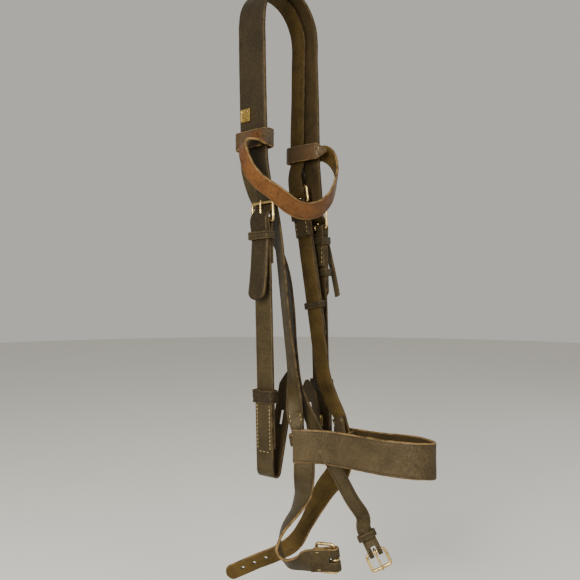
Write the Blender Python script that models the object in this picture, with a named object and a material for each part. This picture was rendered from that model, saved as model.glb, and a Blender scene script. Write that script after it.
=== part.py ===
"""A leather bridle headstall without bit or reins, hanging from the middle of its crown.

Frame: +Z up, -Y towards the horse's nose, +X towards the horse's near (left) side.
The origin is the middle of the crown's underside, where the bridle hangs on its hook.
Local sizes and places are in millimetres, and MM turns them into metres.
"""
import math

import bpy
import bmesh
from mathutils import Vector

MM = 0.001

# Straps: width and thickness.
CROWN_WIDTH = 36.0
CHEEK_WIDTH = 22.0
SLIP_WIDTH = 19.0
THROAT_WIDTH = 14.0
BROW_WIDTH = 18.0
NOSE_HEIGHT = 33.0
CHIN_WIDTH = 23.0
CROWN_THICK = 3.2
CHEEK_THICK = 2.6
SLIP_THICK = 2.4
THROAT_THICK = 2.4
BROW_THICK = 2.6
NOSE_THICK = 3.2
CHIN_THICK = 2.8
EDGE_BEVEL = 0.5
GAP = 0.3
FLEX_GAP = 1.2

# Headpiece: an arch over the poll and two legs that split below the browband.
LEG_X = 43.0
UNDER_GAP = 0.6
SLIP_RADIUS = LEG_X - CROWN_THICK / 2 - UNDER_GAP - SLIP_THICK / 2
ARCH_Z = SLIP_THICK / 2 - SLIP_RADIUS
SPLIT_Z = -172.0
CROWN_Y = -11.0

# Buckles: rod radius, tongue radius and the play beside each strap.
ROD_R = 1.5
TONGUE_R = 1.1
SIDE_PLAY = 1.2
CHEEK_BAR_Z = -244.0
CHEEK_BAR_X = 44.0
CHEEK_BAR_Y = -20.0
CHEEK_BUCKLE_RISE = 19.0
OFF_BILLET_SPREAD = 8.0
SLIP_BUCKLE_RISE = 17.0
THROAT_BUCKLE_RISE = 15.0
CHIN_BUCKLE_RISE = 19.0
CHIN_FRAME_TURN = 163.0
KEEPER_WALL = 2.0

# Bit ends of the cheekpieces, measured down from the cheek buckle's bar.
CHEEK_END_U = 224.0
LAP_TOP_U = 173.0
BIT_KEEPER_LENGTH = 13.0
FOLD_U = 252.0
RETURN_LENGTHS = {"off": 99.0, "near": 84.0}
RETURN_TILTS = {"off": 16.0, "near": 11.0}

# Noseband: the loops sewn inside its ends, and the play of the straps that pass through them.
NOSE_LOOP_LENGTH = 12.0
LOOP_HALF = 6.0
LOOP_PLAY = 1.2
LOOP_REACH = KEEPER_WALL / 2 + LOOP_PLAY + SLIP_THICK / 2

BRASS = (0.62, 0.50, 0.25, 1.0)
DARK = (0.045, 0.030, 0.018, 1.0)
OLIVE = (0.085, 0.055, 0.028, 1.0)
TAN = (0.240, 0.090, 0.040, 1.0)
GREY = (0.110, 0.082, 0.045, 1.0)
GOLDEN = (0.130, 0.078, 0.026, 1.0)

Y = Vector((0.0, 1.0, 0.0))
Z = Vector((0.0, 0.0, 1.0))


class Seat:
    """A local frame on a strap: u runs along it, n points out of its grain side, s lies across it."""

    def __init__(self, origin, down, out):
        self.o = Vector(origin)
        self.d = Vector(down).normalized()
        out = Vector(out)
        self.n = (out - self.d * out.dot(self.d)).normalized()
        self.s = self.d.cross(self.n)

    def at(self, u, n, s=0.0):
        return self.o + self.d * u + self.n * n + self.s * s


def paint(obj, colour):
    """Give the object its own leather or brass material."""
    material = bpy.data.materials.new(obj.name)
    material.use_nodes = True
    shader = material.node_tree.nodes["Principled BSDF"]
    metal = colour == BRASS
    shader.inputs["Base Color"].default_value = colour
    shader.inputs["Metallic"].default_value = 1.0 if metal else 0.0
    shader.inputs["Roughness"].default_value = 0.35 if metal else 0.6
    obj.data.materials.append(material)
    return obj


def finish(name, bm, colour):
    """Turn a closed bmesh in millimetres into a named object in metres."""
    bm.normal_update()
    bmesh.ops.recalc_face_normals(bm, faces=bm.faces)
    bmesh.ops.scale(bm, vec=(MM, MM, MM), verts=bm.verts)
    mesh = bpy.data.meshes.new(name)
    bm.to_mesh(mesh)
    bm.free()
    obj = bpy.data.objects.new(name, mesh)
    bpy.context.collection.objects.link(obj)
    mesh.shade_smooth()
    mesh.set_sharp_from_angle(angle=math.radians(40))
    return paint(obj, colour) if colour else obj


def skin(name, rings, closed, colour):
    """Join rings of points into one closed body."""
    bm = bmesh.new()
    loops = [[bm.verts.new(point) for point in ring] for ring in rings]
    pairs = list(zip(loops, loops[1:]))
    if closed:
        pairs.append((loops[-1], loops[0]))
    for one, two in pairs:
        for i in range(len(one)):
            j = (i + 1) % len(one)
            bm.faces.new((one[i], one[j], two[j], two[i]))
    if not closed:
        bm.faces.new(loops[0])
        bm.faces.new(loops[-1])
    return finish(name, bm, colour)


def tangents(centres, closed):
    """The unit direction of travel at each centre."""
    last = len(centres) - 1
    result = []
    for i in range(len(centres)):
        before = centres[i - 1] if i or closed else centres[0]
        after = centres[(i + 1) % len(centres)] if i < last or closed else centres[last]
        result.append((after - before).normalized())
    return result


def squared(travel, across):
    """The across direction made square to the direction of travel."""
    return (across - travel * across.dot(travel)).normalized()


def flat_section(centre, travel, across, plus, minus, thick):
    """Eight points of a strap's cross-section with bevelled edges."""
    out = travel.cross(across).normalized()
    half = thick / 2
    e = min(EDGE_BEVEL, thick / 4)
    corners = [(-minus + e, half), (plus - e, half), (plus, half - e), (plus, e - half),
               (plus - e, -half), (e - minus, -half), (-minus, e - half), (-minus, half - e)]
    return [centre + across * a + out * b for a, b in corners]


def catmull(values, i, t):
    """A value at t between stops i and i + 1 of a smooth curve through all the stops."""
    a = values[max(i - 1, 0)]
    b = values[i]
    c = values[i + 1]
    d = values[min(i + 2, len(values) - 1)]
    return 0.5 * ((2 * b) + (c - a) * t + (2 * a - 5 * b + 4 * c - d) * t ** 2
                  + (3 * b - a - 3 * c + d) * t ** 3)


def mix(values, i, t):
    return values[i] * (1 - t) + values[i + 1] * t


def strap(name, stops, thick, colour, tips=(None, None), step=10.0):
    """A strap through stops of (centre, across, plus, minus), with plain, round or pointed tips."""
    centres = [Vector(stop[0]) for stop in stops]
    rows = []
    for i in range(len(stops) - 1):
        parts = max(1, round((centres[i + 1] - centres[i]).length / step))
        for k in range(parts):
            t = k / parts
            rows.append([catmull(centres, i, t), mix([Vector(stop[1]) for stop in stops], i, t),
                         mix([stop[2] for stop in stops], i, t),
                         mix([stop[3] for stop in stops], i, t)])
    rows.append([centres[-1], Vector(stops[-1][1]), stops[-1][2], stops[-1][3]])
    rows = shape_tip(rows, tips[1])
    rows = shape_tip(rows[::-1], tips[0])[::-1]
    travel = tangents([row[0] for row in rows], False)
    rings = [flat_section(row[0], way, squared(way, row[1]), row[2], row[3], thick)
             for row, way in zip(rows, travel)]
    return skin(name, rings, False, colour)


def shape_tip(rows, style):
    """Narrow the last stretch of a strap's rows to a rounded or a pointed tip."""
    if style is None:
        return rows
    reach = {"round": 0.8, "point": 1.3}[style] * (rows[-1][2] + rows[-1][3]) / 2
    lengths = [0.0]
    for one, two in zip(rows[::-1], rows[-2::-1]):
        lengths.append(lengths[-1] + (two[0] - one[0]).length)
    lengths = lengths[::-1]
    kept = [row for row, left in zip(rows, lengths) if left > reach + 1.0]
    for share in (1.0, 0.65, 0.36, 0.14, 0.0):
        left = share * reach
        i = max(k for k in range(len(rows) - 1) if lengths[k] >= left)
        t = (lengths[i] - left) / (lengths[i] - lengths[i + 1])
        scale = math.sqrt(1 - (1 - share) ** 2) if style == "round" else share
        scale = 0.25 + 0.75 * scale
        row = [rows[i][k] * (1 - t) + rows[i + 1][k] * t for k in range(4)]
        middle = (row[2] - row[3]) / 2
        half = (row[2] + row[3]) / 2 * scale
        kept.append([row[0], row[1], middle + half, half - middle])
    return kept


def rod(name, centres, radius, closed, plane_normal, colour, sides=8):
    """A round rod that stays in one plane."""
    rings = []
    for centre, way in zip(centres, tangents(centres, closed)):
        side = way.cross(plane_normal).normalized()
        turn = [2 * math.pi * k / sides for k in range(sides)]
        rings.append([centre + (side * math.cos(a) + plane_normal * math.sin(a)) * radius
                      for a in turn])
    return skin(name, rings, closed, colour)


def rounded_loop(low_a, high_a, low_b, high_b, radius, steps=4):
    """Points (a, b) round a rectangle with rounded corners."""
    points = []
    corners = ((high_a, high_b, 0), (low_a, high_b, 90), (low_a, low_b, 180), (high_a, low_b, 270))
    for a, b, start in corners:
        mid_a = a - radius if a == high_a else a + radius
        mid_b = b - radius if b == high_b else b + radius
        for k in range(steps + 1):
            angle = math.radians(start + 90 * k / steps)
            points.append((mid_a + radius * math.cos(angle), mid_b + radius * math.sin(angle)))
    return points


def keeper(name, seat, u, low_n, high_n, half, length, colour, radius=2.2):
    """A leather loop round a strap, its clear inside from low_n to high_n and half to each side."""
    w = KEEPER_WALL / 2
    loop = rounded_loop(-half - w, half + w, low_n - w, high_n + w, radius, 2)
    centres = [seat.at(u, n, s) for s, n in loop]
    travel = tangents(centres, True)
    rings = [flat_section(c, way, seat.d, length / 2, length / 2, KEEPER_WALL)
             for c, way in zip(centres, travel)]
    return skin(name, rings, True, colour)


def turned(u, n, degrees):
    """A point of a buckle's side view, turned about its bar."""
    a = math.radians(degrees)
    return u * math.cos(a) - n * math.sin(a), u * math.sin(a) + n * math.cos(a)


def buckle(prefix, seat, strap_half, rise, turn=0.0):
    """A single-loop buckle: a frame whose lower side is the bar, and a tongue hooked on that bar."""
    side = strap_half + SIDE_PLAY + ROD_R
    loop = rounded_loop(-side, side, -rise, 0.0, 2.5)
    centres = []
    for s, u in loop:
        a, b = turned(u, 0.0, turn)
        centres.append(seat.at(a, b, s))
    a, b = turned(0.0, 1.0, turn)
    rod(prefix + "_frame", centres, ROD_R, True, seat.d * a + seat.n * b, BRASS)
    reach = ROD_R + GAP + TONGUE_R
    side_view = []
    for k in range(9):
        angle = math.radians(-250 + 250 * k / 8)
        side_view.append((-reach * math.sin(angle), reach * math.cos(angle)))
    side_view += [(-rise * 0.35, reach + 0.3), (-rise * 0.7, reach + 0.3), (-rise - 2.6, reach)]
    path = [seat.at(*turned(u, n, turn)) for u, n in side_view]
    rod(prefix + "_tongue", path, TONGUE_R, False, seat.s, BRASS)


def block(name, centre, axes, size, colour):
    """A box of the given size along three axes at right angles."""
    bm = bmesh.new()
    bmesh.ops.create_cube(bm, size=1.0)
    for vert in bm.verts:
        offset = sum((axis * (vert.co[i] * size[i]) for i, axis in enumerate(axes)), Vector())
        vert.co = centre + offset
    return finish(name, bm, colour)


def box_cutter(name, centre, axes, size):
    """A wire-displayed box used only to cut."""
    return hide_cutter(block(name, centre, axes, size, None))


def rod_cutter(name, start, end, radius, normal):
    """A wire-displayed rod used only to cut."""
    return hide_cutter(rod(name, [start, (start + end) / 2, end], radius, False, normal, None, 10))


def hide_cutter(obj):
    obj.hide_render = True
    obj.display_type = "WIRE"
    return obj


def cut(obj, cutter):
    modifier = obj.modifiers.new("cut_" + cutter.name, "BOOLEAN")
    modifier.operation = "DIFFERENCE"
    modifier.solver = "EXACT"
    modifier.object = cutter


def tongue_slot(obj, seat):
    """Open the middle of a strap's fold so that the buckle's tongue can swing in it."""
    centre = seat.at(-1.0, 0.0)
    cut(obj, box_cutter("cut_slot_" + obj.name, centre, (seat.d, seat.n, seat.s), (14.0, 16.0, 5.0)))


def tongue_hole(obj, seat, rise):
    """Bore the billet along the tongue that passes up through it."""
    reach = ROD_R + GAP + TONGUE_R
    start = seat.at(1.0, reach + 0.1)
    end = seat.at(-rise - 4.0, reach + 0.1)
    cut(obj, rod_cutter("cut_hole_" + obj.name, start, end, TONGUE_R + 0.5, seat.s))


def billet_hole(obj, seat, u, n):
    """A spare buckle hole through a billet that lies along the seat."""
    name = "cut_spare_%s_%d" % (obj.name, round(u))
    cut(obj, rod_cutter(name, seat.at(u, n - 4.0), seat.at(u, n + 4.0), 1.6, seat.s))


def chape(seat, thick, half, length):
    """Stops of a strap's folded end: up the inside, round the bar and back down the outside."""
    wrap = ROD_R + GAP + thick / 2
    close = thick / 2 + GAP / 2
    side_view = [(length, -close), (length - 6.0, -close), (13.0, -close), (7.0, -close - 0.5)]
    for k in range(7):
        angle = math.radians(-90 + 180 * k / 6)
        side_view.append((-wrap * math.cos(angle), wrap * math.sin(angle)))
    side_view += [(7.0, close + 0.5), (13.0, close), (length - 6.0, close)]
    return [(seat.at(u, n), seat.s, half, half) for u, n in side_view]


def billet_over(seat, chape_thick, thick, rise):
    """Side view of a billet that enters behind a buckle's frame and comes out over its bar."""
    under = ROD_R + GAP + thick / 2 + 0.2
    over = ROD_R + GAP + chape_thick + GAP + thick / 2
    rest = chape_thick + GAP / 2 + GAP + thick / 2
    return [(-rise - 11.0, -under + 0.8), (-rise - 3.0, -under), (-rise + 2.5, -under + 0.2),
            (-rise * 0.62, -0.8), (-rise * 0.42, 2.7), (-rise * 0.2, over - 0.8), (0.0, over),
            (5.0, over - 0.3), (12.0, rest + 0.3), (19.0, rest)]


def cheek_seat(side):
    return Seat((side * CHEEK_BAR_X, CHEEK_BAR_Y, CHEEK_BAR_Z), (0.0, -0.03, -1.0), (side, 0.0, 0.0))


def slip_seat():
    return Seat((30.0, -7.0, -216.0), (-0.01, -0.174, -0.985), (1.0, 0.0, 0.0))


def throat_seat():
    return Seat((12.2, -115.5, -565.5), (-0.094, 0.491, 0.865), (-0.766, -0.643, 0.0))


def chin_seat():
    return Seat((-9.0, -84.0, -574.0), (-0.50, 0.86, -0.12), (-0.80, -0.59, -0.05))


def build_headpiece():
    """The crown strap, its arch over the poll, and a cheek billet at each end."""
    front = CHEEK_WIDTH / 2
    back = CROWN_WIDTH - front
    stops = []
    for side in (1.0, -1.0):
        seat = cheek_seat(side)
        rest = CHEEK_THICK + GAP / 2 + GAP + CROWN_THICK / 2
        line = billet_over(seat, CHEEK_THICK, CROWN_THICK, CHEEK_BUCKLE_RISE)
        spread = OFF_BILLET_SPREAD if side < 0 else 0.0
        line += [(30.0, rest + 0.1 * spread), (54.0, rest + 0.45 * spread), (78.0, rest + spread)]
        billet = [(seat.at(u, n), Y, front, front) for u, n in line[::-1]]
        leg = [((side * LEG_X, -15.2, SPLIT_Z - 14.0), Y, front, front),
               ((side * LEG_X, -14.0, SPLIT_Z), Y, front, front),
               ((side * LEG_X, -14.0, SPLIT_Z + 0.8), Y, back, front),
               ((side * (LEG_X + 0.4), -12.5, -110.0), Y, back, front),
               ((side * LEG_X, CROWN_Y, -60.0), Y, back, front)]
        half = billet + leg
        stops = half if side > 0 else stops + half[::-1]
        if side > 0:
            for k in range(9):
                angle = math.pi / 2 - math.pi * k / 8
                stops.append(((LEG_X * math.sin(angle), CROWN_Y, ARCH_Z + LEG_X * math.cos(angle)),
                              Y, back, front))
    obj = strap("headpiece", stops, CROWN_THICK, DARK, ("round", "round"))
    for side in (1.0, -1.0):
        seat = cheek_seat(side)
        tongue_hole(obj, seat, CHEEK_BUCKLE_RISE)
    for u in (30.0, 46.0, 62.0):
        billet_hole(obj, cheek_seat(1.0), u, CHEEK_THICK + CROWN_THICK / 2)
    seat = Seat((-LEG_X - CROWN_THICK / 2 - 0.45, 3.0, -134.0), (0, 0, -1), (-1, 0, 0))
    block("crown_plate", seat.at(0.0, 0.8), (seat.d, seat.n, seat.s), (13.0, 1.2, 13.0), BRASS)


def loop_end(seat, half):
    """Stops of a strap's end that narrows, goes down through a sewn loop and back up inside it."""
    close = SLIP_THICK / 2 + GAP / 2
    base = NOSE_LOOP_LENGTH / 2 - 1.0
    side_view = [(-26.0, close + 0.2, half - 1.0), (-17.0, close + 0.8, half - 2.0),
                 (-9.0, LOOP_REACH, LOOP_HALF)]
    for k in range(7):
        angle = math.radians(90 - 180 * k / 6)
        side_view.append((base + LOOP_REACH * math.cos(angle), LOOP_REACH * math.sin(angle), LOOP_HALF))
    side_view += [(-9.0, -LOOP_REACH, LOOP_HALF), (-17.0, -close - 0.8, half - 2.0),
                  (-24.0, -close - 0.6, half - 1.5)]
    return [(seat.at(u, n), seat.s, width, width) for u, n, width in side_view]


def nose_seat(side):
    """The seat on the inner wall of the loop sewn inside the noseband, on one side."""
    if side < 0:
        return Seat((-26.1, -52.2, -458.0), (0.091, -0.148, -0.985), (-0.852, -0.524, 0.0))
    return Seat((27.8, -70.8, -467.0), (-0.051, -0.420, -0.906), (0.993, -0.120, 0.0))


def build_sliphead():
    """The noseband's own strap: near billet, crown, then down the off side to the noseband."""
    half = SLIP_WIDTH / 2
    radius = SLIP_RADIUS
    seat = slip_seat()
    rest = SLIP_THICK + GAP / 2 + GAP + SLIP_THICK / 2
    line = billet_over(seat, SLIP_THICK, SLIP_THICK, SLIP_BUCKLE_RISE)
    line += [(32.0, rest), (80.0, rest), (125.0, rest), (158.0, rest)]
    stops = [(seat.at(u, n), -seat.s, half, half) for u, n in line[::-1]]
    stops += [((32.8, 0.5, -179.0), Y, half, half), ((38.4, 2.0, -165.5), Y, half, half),
              ((radius - 0.4, 4.0, -145.0), Y, half, half), ((radius, 3.0, -100.0), Y, half, half),
              ((radius, 2.5, -60.0), Y, half, half)]
    for k in range(9):
        angle = math.pi / 2 - math.pi * k / 8
        stops.append(((radius * math.sin(angle), 2.0, ARCH_Z + radius * math.cos(angle)),
                      Y, half, half))
    stops += [((-radius, 1.5, -60.0), Y, half, half), ((-radius, 1.0, -100.0), Y, half, half),
              ((-radius + 0.4, -1.0, -140.0), Y, half, half),
              ((-38.2, -4.0, -172.0), Y, half, half),
              ((-32.0, -12.0, -200.0), (0.3, 0.95, 0.0), half, half),
              ((-27.5, -24.0, -248.0), (0.45, 0.89, 0.0), half, half),
              ((-31.5, -40.0, -340.0), (0.5, 0.87, 0.0), half, half),
              ((-30.0, -47.0, -395.0), (0.35, 0.94, 0.0), half, half)]
    stops += loop_end(nose_seat(-1.0), half)
    obj = strap("sliphead", stops, SLIP_THICK, GOLDEN, ("point", None))
    tongue_hole(obj, seat, SLIP_BUCKLE_RISE)
    for u in (34.0, 52.0):
        billet_hole(obj, seat, u, SLIP_THICK * 1.5)


def build_near_nose_cheek():
    """The short strap from the sliphead's buckle down to the loop inside the noseband's near end."""
    half = SLIP_WIDTH / 2
    seat = slip_seat()
    stops = chape(seat, SLIP_THICK, half, 38.0)
    close = SLIP_THICK / 2 + GAP / 2
    stops += [(seat.at(u, close), seat.s, half, half) for u in (70.0, 110.0, 145.0, 168.0)]
    stops += [((28.6, -41.0, -404.0), seat.s, half, half), ((28.8, -50.0, -425.0), seat.s, half, half)]
    stops += loop_end(nose_seat(1.0), half)
    obj = strap("near_nose_cheek", stops, SLIP_THICK, GOLDEN)
    tongue_slot(obj, seat)
    buckle("slip_buckle", seat, half, SLIP_BUCKLE_RISE)
    low = -SLIP_THICK - 0.5
    high = 2 * SLIP_THICK + 1.6
    keeper("slip_keeper", seat, 15.0, low, high, half + 0.6, 7.0, OLIVE)
    keeper("slip_runner", seat, 114.0, -0.4, 2 * SLIP_THICK + 1.0, half + 0.6, 7.0, OLIVE)


def build_cheek(prefix, side):
    """One cheekpiece with its buckle, keepers, bit end and hook stud."""
    half = CHEEK_WIDTH / 2
    seat = cheek_seat(side)
    close = CHEEK_THICK / 2 + GAP / 2
    stops = chape(seat, CHEEK_THICK, half, 42.0)
    for u in (80.0, 130.0, LAP_TOP_U, CHEEK_END_U):
        stops.append((seat.at(u, close), seat.s, half, half))
    obj = strap(prefix + "_cheekpiece", stops, CHEEK_THICK, OLIVE, step=20.0)
    tongue_slot(obj, seat)
    buckle(prefix + "_cheek_buckle", seat, half, CHEEK_BUCKLE_RISE)
    outer = CHEEK_THICK + CROWN_THICK + 1.6
    keeper(prefix + "_cheek_keeper", seat, 14.0, -CHEEK_THICK - 0.5, outer, half + 0.6, 8.0, OLIVE)
    if prefix == "near":
        keeper("near_runner", seat, 49.0, -0.4, outer - 0.4, half + 0.6, 8.0, OLIVE)
    build_bit_end(prefix, seat, half)


def build_bit_end(prefix, seat, half):
    """The stitched lap, the loop for the bit ring, the free return strap, and its hook stud."""
    lap = CHEEK_THICK + GAP / 2 + GAP + CHEEK_THICK / 2
    fold = 6.0
    centre_n = lap - fold
    stops = [(seat.at(LAP_TOP_U, lap), seat.s, half, half),
             (seat.at(CHEEK_END_U - 6.0, lap), seat.s, half, half),
             (seat.at(FOLD_U - fold, lap), seat.s, half, half)]
    for k in range(1, 6):
        angle = math.radians(90 * k / 6)
        stops.append((seat.at(FOLD_U - fold + fold * math.sin(angle), centre_n + fold * math.cos(angle)),
                      seat.s, half, half))
    strap(prefix + "_bit_strap", stops, CHEEK_THICK, OLIVE, step=12.0)
    start = math.radians(90 + 8)
    stops = []
    for k in range(6):
        angle = start + math.radians(82 - RETURN_TILTS[prefix]) * k / 5
        stops.append((seat.at(FOLD_U - fold + fold * math.sin(angle), centre_n + fold * math.cos(angle)),
                      seat.s, half, half))
    tilt = math.radians(RETURN_TILTS[prefix])
    foot_u = FOLD_U - fold + fold * math.sin(math.pi - tilt)
    foot_n = centre_n - fold * math.cos(tilt)
    for along in (20.0, 50.0, RETURN_LENGTHS[prefix]):
        stops.append((seat.at(foot_u - along * math.cos(tilt), foot_n - along * math.sin(tilt)),
                      seat.s, half - 1.0, half - 1.0))
    obj = strap(prefix + "_bit_return", stops, CHEEK_THICK, OLIVE, (None, "point"), step=12.0)
    slot_at = 52.0
    slot_u = foot_u - slot_at * math.cos(tilt)
    slot_n = foot_n - slot_at * math.sin(tilt)
    cut(obj, box_cutter("cut_stud_" + obj.name, seat.at(slot_u, slot_n),
                        (seat.d, seat.n, seat.s), (14.0, 12.0, 4.4)))
    keeper(prefix + "_bit_keeper", seat, LAP_TOP_U, -1.0, lap + CHEEK_THICK / 2 + 0.5, half + 0.6,
           BIT_KEEPER_LENGTH, DARK)
    plate = -GAP - 0.8
    hook = [(218.0, plate), (208.0, plate), (205.5, plate - 1.2), (205.5, plate - 3.4),
            (208.0, plate - 4.6), (214.0, plate - 4.6)]
    stops = [(seat.at(u, n), seat.s, 3.2, 3.2) for u, n in hook]
    strap(prefix + "_hook_stud", stops, 1.4, BRASS, step=2.0)


def build_browband():
    """The band across the brow, looped round each leg; at the off side it curls back over its loop."""
    half = BROW_WIDTH / 2
    inner = 33.6
    outer = 48.2
    rear = 17.2
    front = -27.4
    z = -160.0
    off_rear = rear - 0.6
    off_plan = [(outer, -21.5), (outer, -8.0), (outer, off_rear - 7.5), (outer - 1.0, off_rear - 3.2),
                (outer - 4.8, off_rear), (inner + 4.8, off_rear), (inner + 1.4, off_rear - 3.4),
                (inner, 5.0), (inner, -18.0), (inner + 1.4, front + 3.4), (inner + 4.8, front),
                (outer - 4.7, front)]
    near_plan = [(outer, -18.0), (outer, 8.0), (outer - 1.4, rear - 3.4), (outer - 4.8, rear)]
    near_plan += [(inner + 4.8, rear), (inner + 1.4, rear - 3.4), (inner, 8.0), (inner, -16.0),
                  (inner + 0.6, -25.0), (inner + 3.0, -31.0), (inner + 7.0, -36.0)]
    droop = [((-50.3, -27.2, -160.5), (-0.2, -0.25, -0.93)),
             ((-56.3, -24.5, -160.0), (-0.5, -0.42, -0.72)),
             ((-60.0, -17.5, -161.2), (-0.65, -0.58, -0.45)), ((-62.0, -12.0, -166.5), (-0.55, -0.8, -0.12)),
             ((-62.0, -10.5, -176.0), (-0.35, -0.92, 0.15)), ((-62.0, -18.5, -194.0), (-0.2, -0.78, 0.6)),
             ((-59.0, -31.0, -208.0), (-0.25, -0.7, 0.67)), ((-51.0, -43.0, -218.5), (-0.3, -0.55, 0.78)),
             ((-35.0, -49.0, -229.5), (-0.32, -0.4, 0.86)), ((-18.0, -54.0, -233.5), (-0.32, -0.27, 0.9)),
             ((3.0, -57.0, -228.0), (-0.35, -0.3, 0.88)), ((20.0, -57.0, -215.0), (-0.5, -0.4, 0.76)),
             ((33.0, -53.0, -200.5), (-0.65, -0.5, 0.58)), ((43.0, -48.0, -185.5), (-0.62, -0.57, 0.54)),
             ((49.0, -39.0, -170.5), (-0.3, -0.4, 0.86)), ((50.5, -28.0, -161.0), (0.0, 0.0, 1.0))]
    stops = [((-x, y, z), -Z, half, half) for x, y in off_plan]
    stops += [(point, Vector(across).normalized(), half, half) for point, across in droop]
    stops += [((x, y, z), Z, half, half) for x, y in near_plan]
    strap("browband", stops, BROW_THICK, TAN, (None, "point"))


def build_noseband():
    """The broad band round the nose, open at the chin, with a loop sewn inside each end."""
    half = NOSE_HEIGHT / 2
    plan = [(-37.0, -53.0, -463.5), (-29.0, -66.0, -463.5), (-22.0, -79.5, -463.5),
            (-18.5, -100.0, -463.5), (-17.0, -128.0, -463.5), (-14.0, -150.0, -463.5),
            (-8.0, -169.0, -463.5), (0.5, -180.5, -463.5), (8.0, -180.0, -464.0), (15.5, -171.5, -464.7),
            (22.0, -157.0, -465.5), (27.0, -138.0, -467.5), (32.0, -112.0, -470.5),
            (36.0, -85.0, -472.5), (38.3, -66.0, -473.5), (36.8, -50.0, -474.0)]
    strap("noseband", [(point, Z, half, half) for point in plan], NOSE_THICK, GREY)
    room = 2 * LOOP_PLAY + SLIP_THICK
    for label, side in (("off", -1.0), ("near", 1.0)):
        keeper(label + "_nose_loop", nose_seat(side), 0.0, KEEPER_WALL / 2, KEEPER_WALL / 2 + room,
               LOOP_HALF + LOOP_PLAY, NOSE_LOOP_LENGTH, GREY)


def build_chin_straps():
    """The off chin strap with its buckle, and the near chin billet with its holes."""
    half = CHIN_WIDTH / 2
    seat = chin_seat()
    stops = chape(seat, CHIN_THICK, half, 21.0)
    close = CHIN_THICK / 2 + GAP / 2
    route = [((-26.0, -55.5, -580.5), (-0.30, -0.35, 0.88)),
             ((-31.5, -41.0, -583.0), (-0.62, -0.45, 0.64)),
             ((-31.5, -30.0, -573.0), (-0.80, -0.45, 0.10)), ((-25.0, -29.0, -556.0), (-0.766, -0.643, 0.0)),
             ((-22.5, -40.0, -538.0), (-0.70, -0.70, -0.1)), ((-25.0, -51.0, -521.0), (-0.40, -0.90, -0.2)),
             ((-28.5, -59.0, -507.0), (0.1, -1.0, -0.1)), ((-31.3, -62.5, -490.0), (0.52, -0.85, 0.0)),
             ((-31.3, -62.5, -481.2), (0.52, -0.85, 0.0))]
    stops = stops[:-1] + [(seat.at(27.0, close), seat.s, half, half)]
    stops += [(point, Vector(across), half - 1.0, half - 1.0) for point, across in route]
    obj = strap("chin_strap", stops, CHIN_THICK, OLIVE)
    tongue_slot(obj, seat)
    buckle("chin_buckle", seat, half, CHIN_BUCKLE_RISE, CHIN_FRAME_TURN)
    route = [((37.6, -59.0, -492.0), (0.12, 0.99, 0.0), 13.0),
             ((37.5, -58.8, -498.0), (0.12, 0.99, 0.0), 13.0),
             ((35.0, -51.5, -511.0), (-0.3, 0.9, 0.2), 12.5),
             ((31.5, -42.0, -524.0), (-0.3, 0.9, 0.3), 11.5),
             ((26.5, -32.0, -544.0), (0.1, 0.9, 0.4), 10.5), ((21.5, -23.0, -564.0), (0.3, 0.9, 0.4), 9.5),
             ((14.0, -14.0, -583.0), (0.1, 0.7, 0.7), 9.0), ((0.0, -2.0, -594.0), (-0.3, 0.3, 0.9), 8.5),
             ((-14.0, 20.0, -606.0), (-0.3, 0.2, 0.9), 8.5), ((-30.0, 46.0, -621.0), (-0.3, 0.2, 0.9), 8.5)]
    stops = [(point, Vector(across), width, width) for point, across, width in route]
    obj = strap("chin_billet", stops, CHIN_THICK, GOLDEN, (None, "round"))
    start = Vector(route[-2][0])
    way = (Vector(route[-1][0]) - start).normalized()
    out = way.cross(Vector(route[-1][1])).normalized()
    for k, along in enumerate((-14.0, 0.0, 14.0)):
        middle = start + way * along
        cut(obj, rod_cutter("cut_chin_hole_%d" % k, middle - out * 7, middle + out * 7, 1.8, way))


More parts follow.
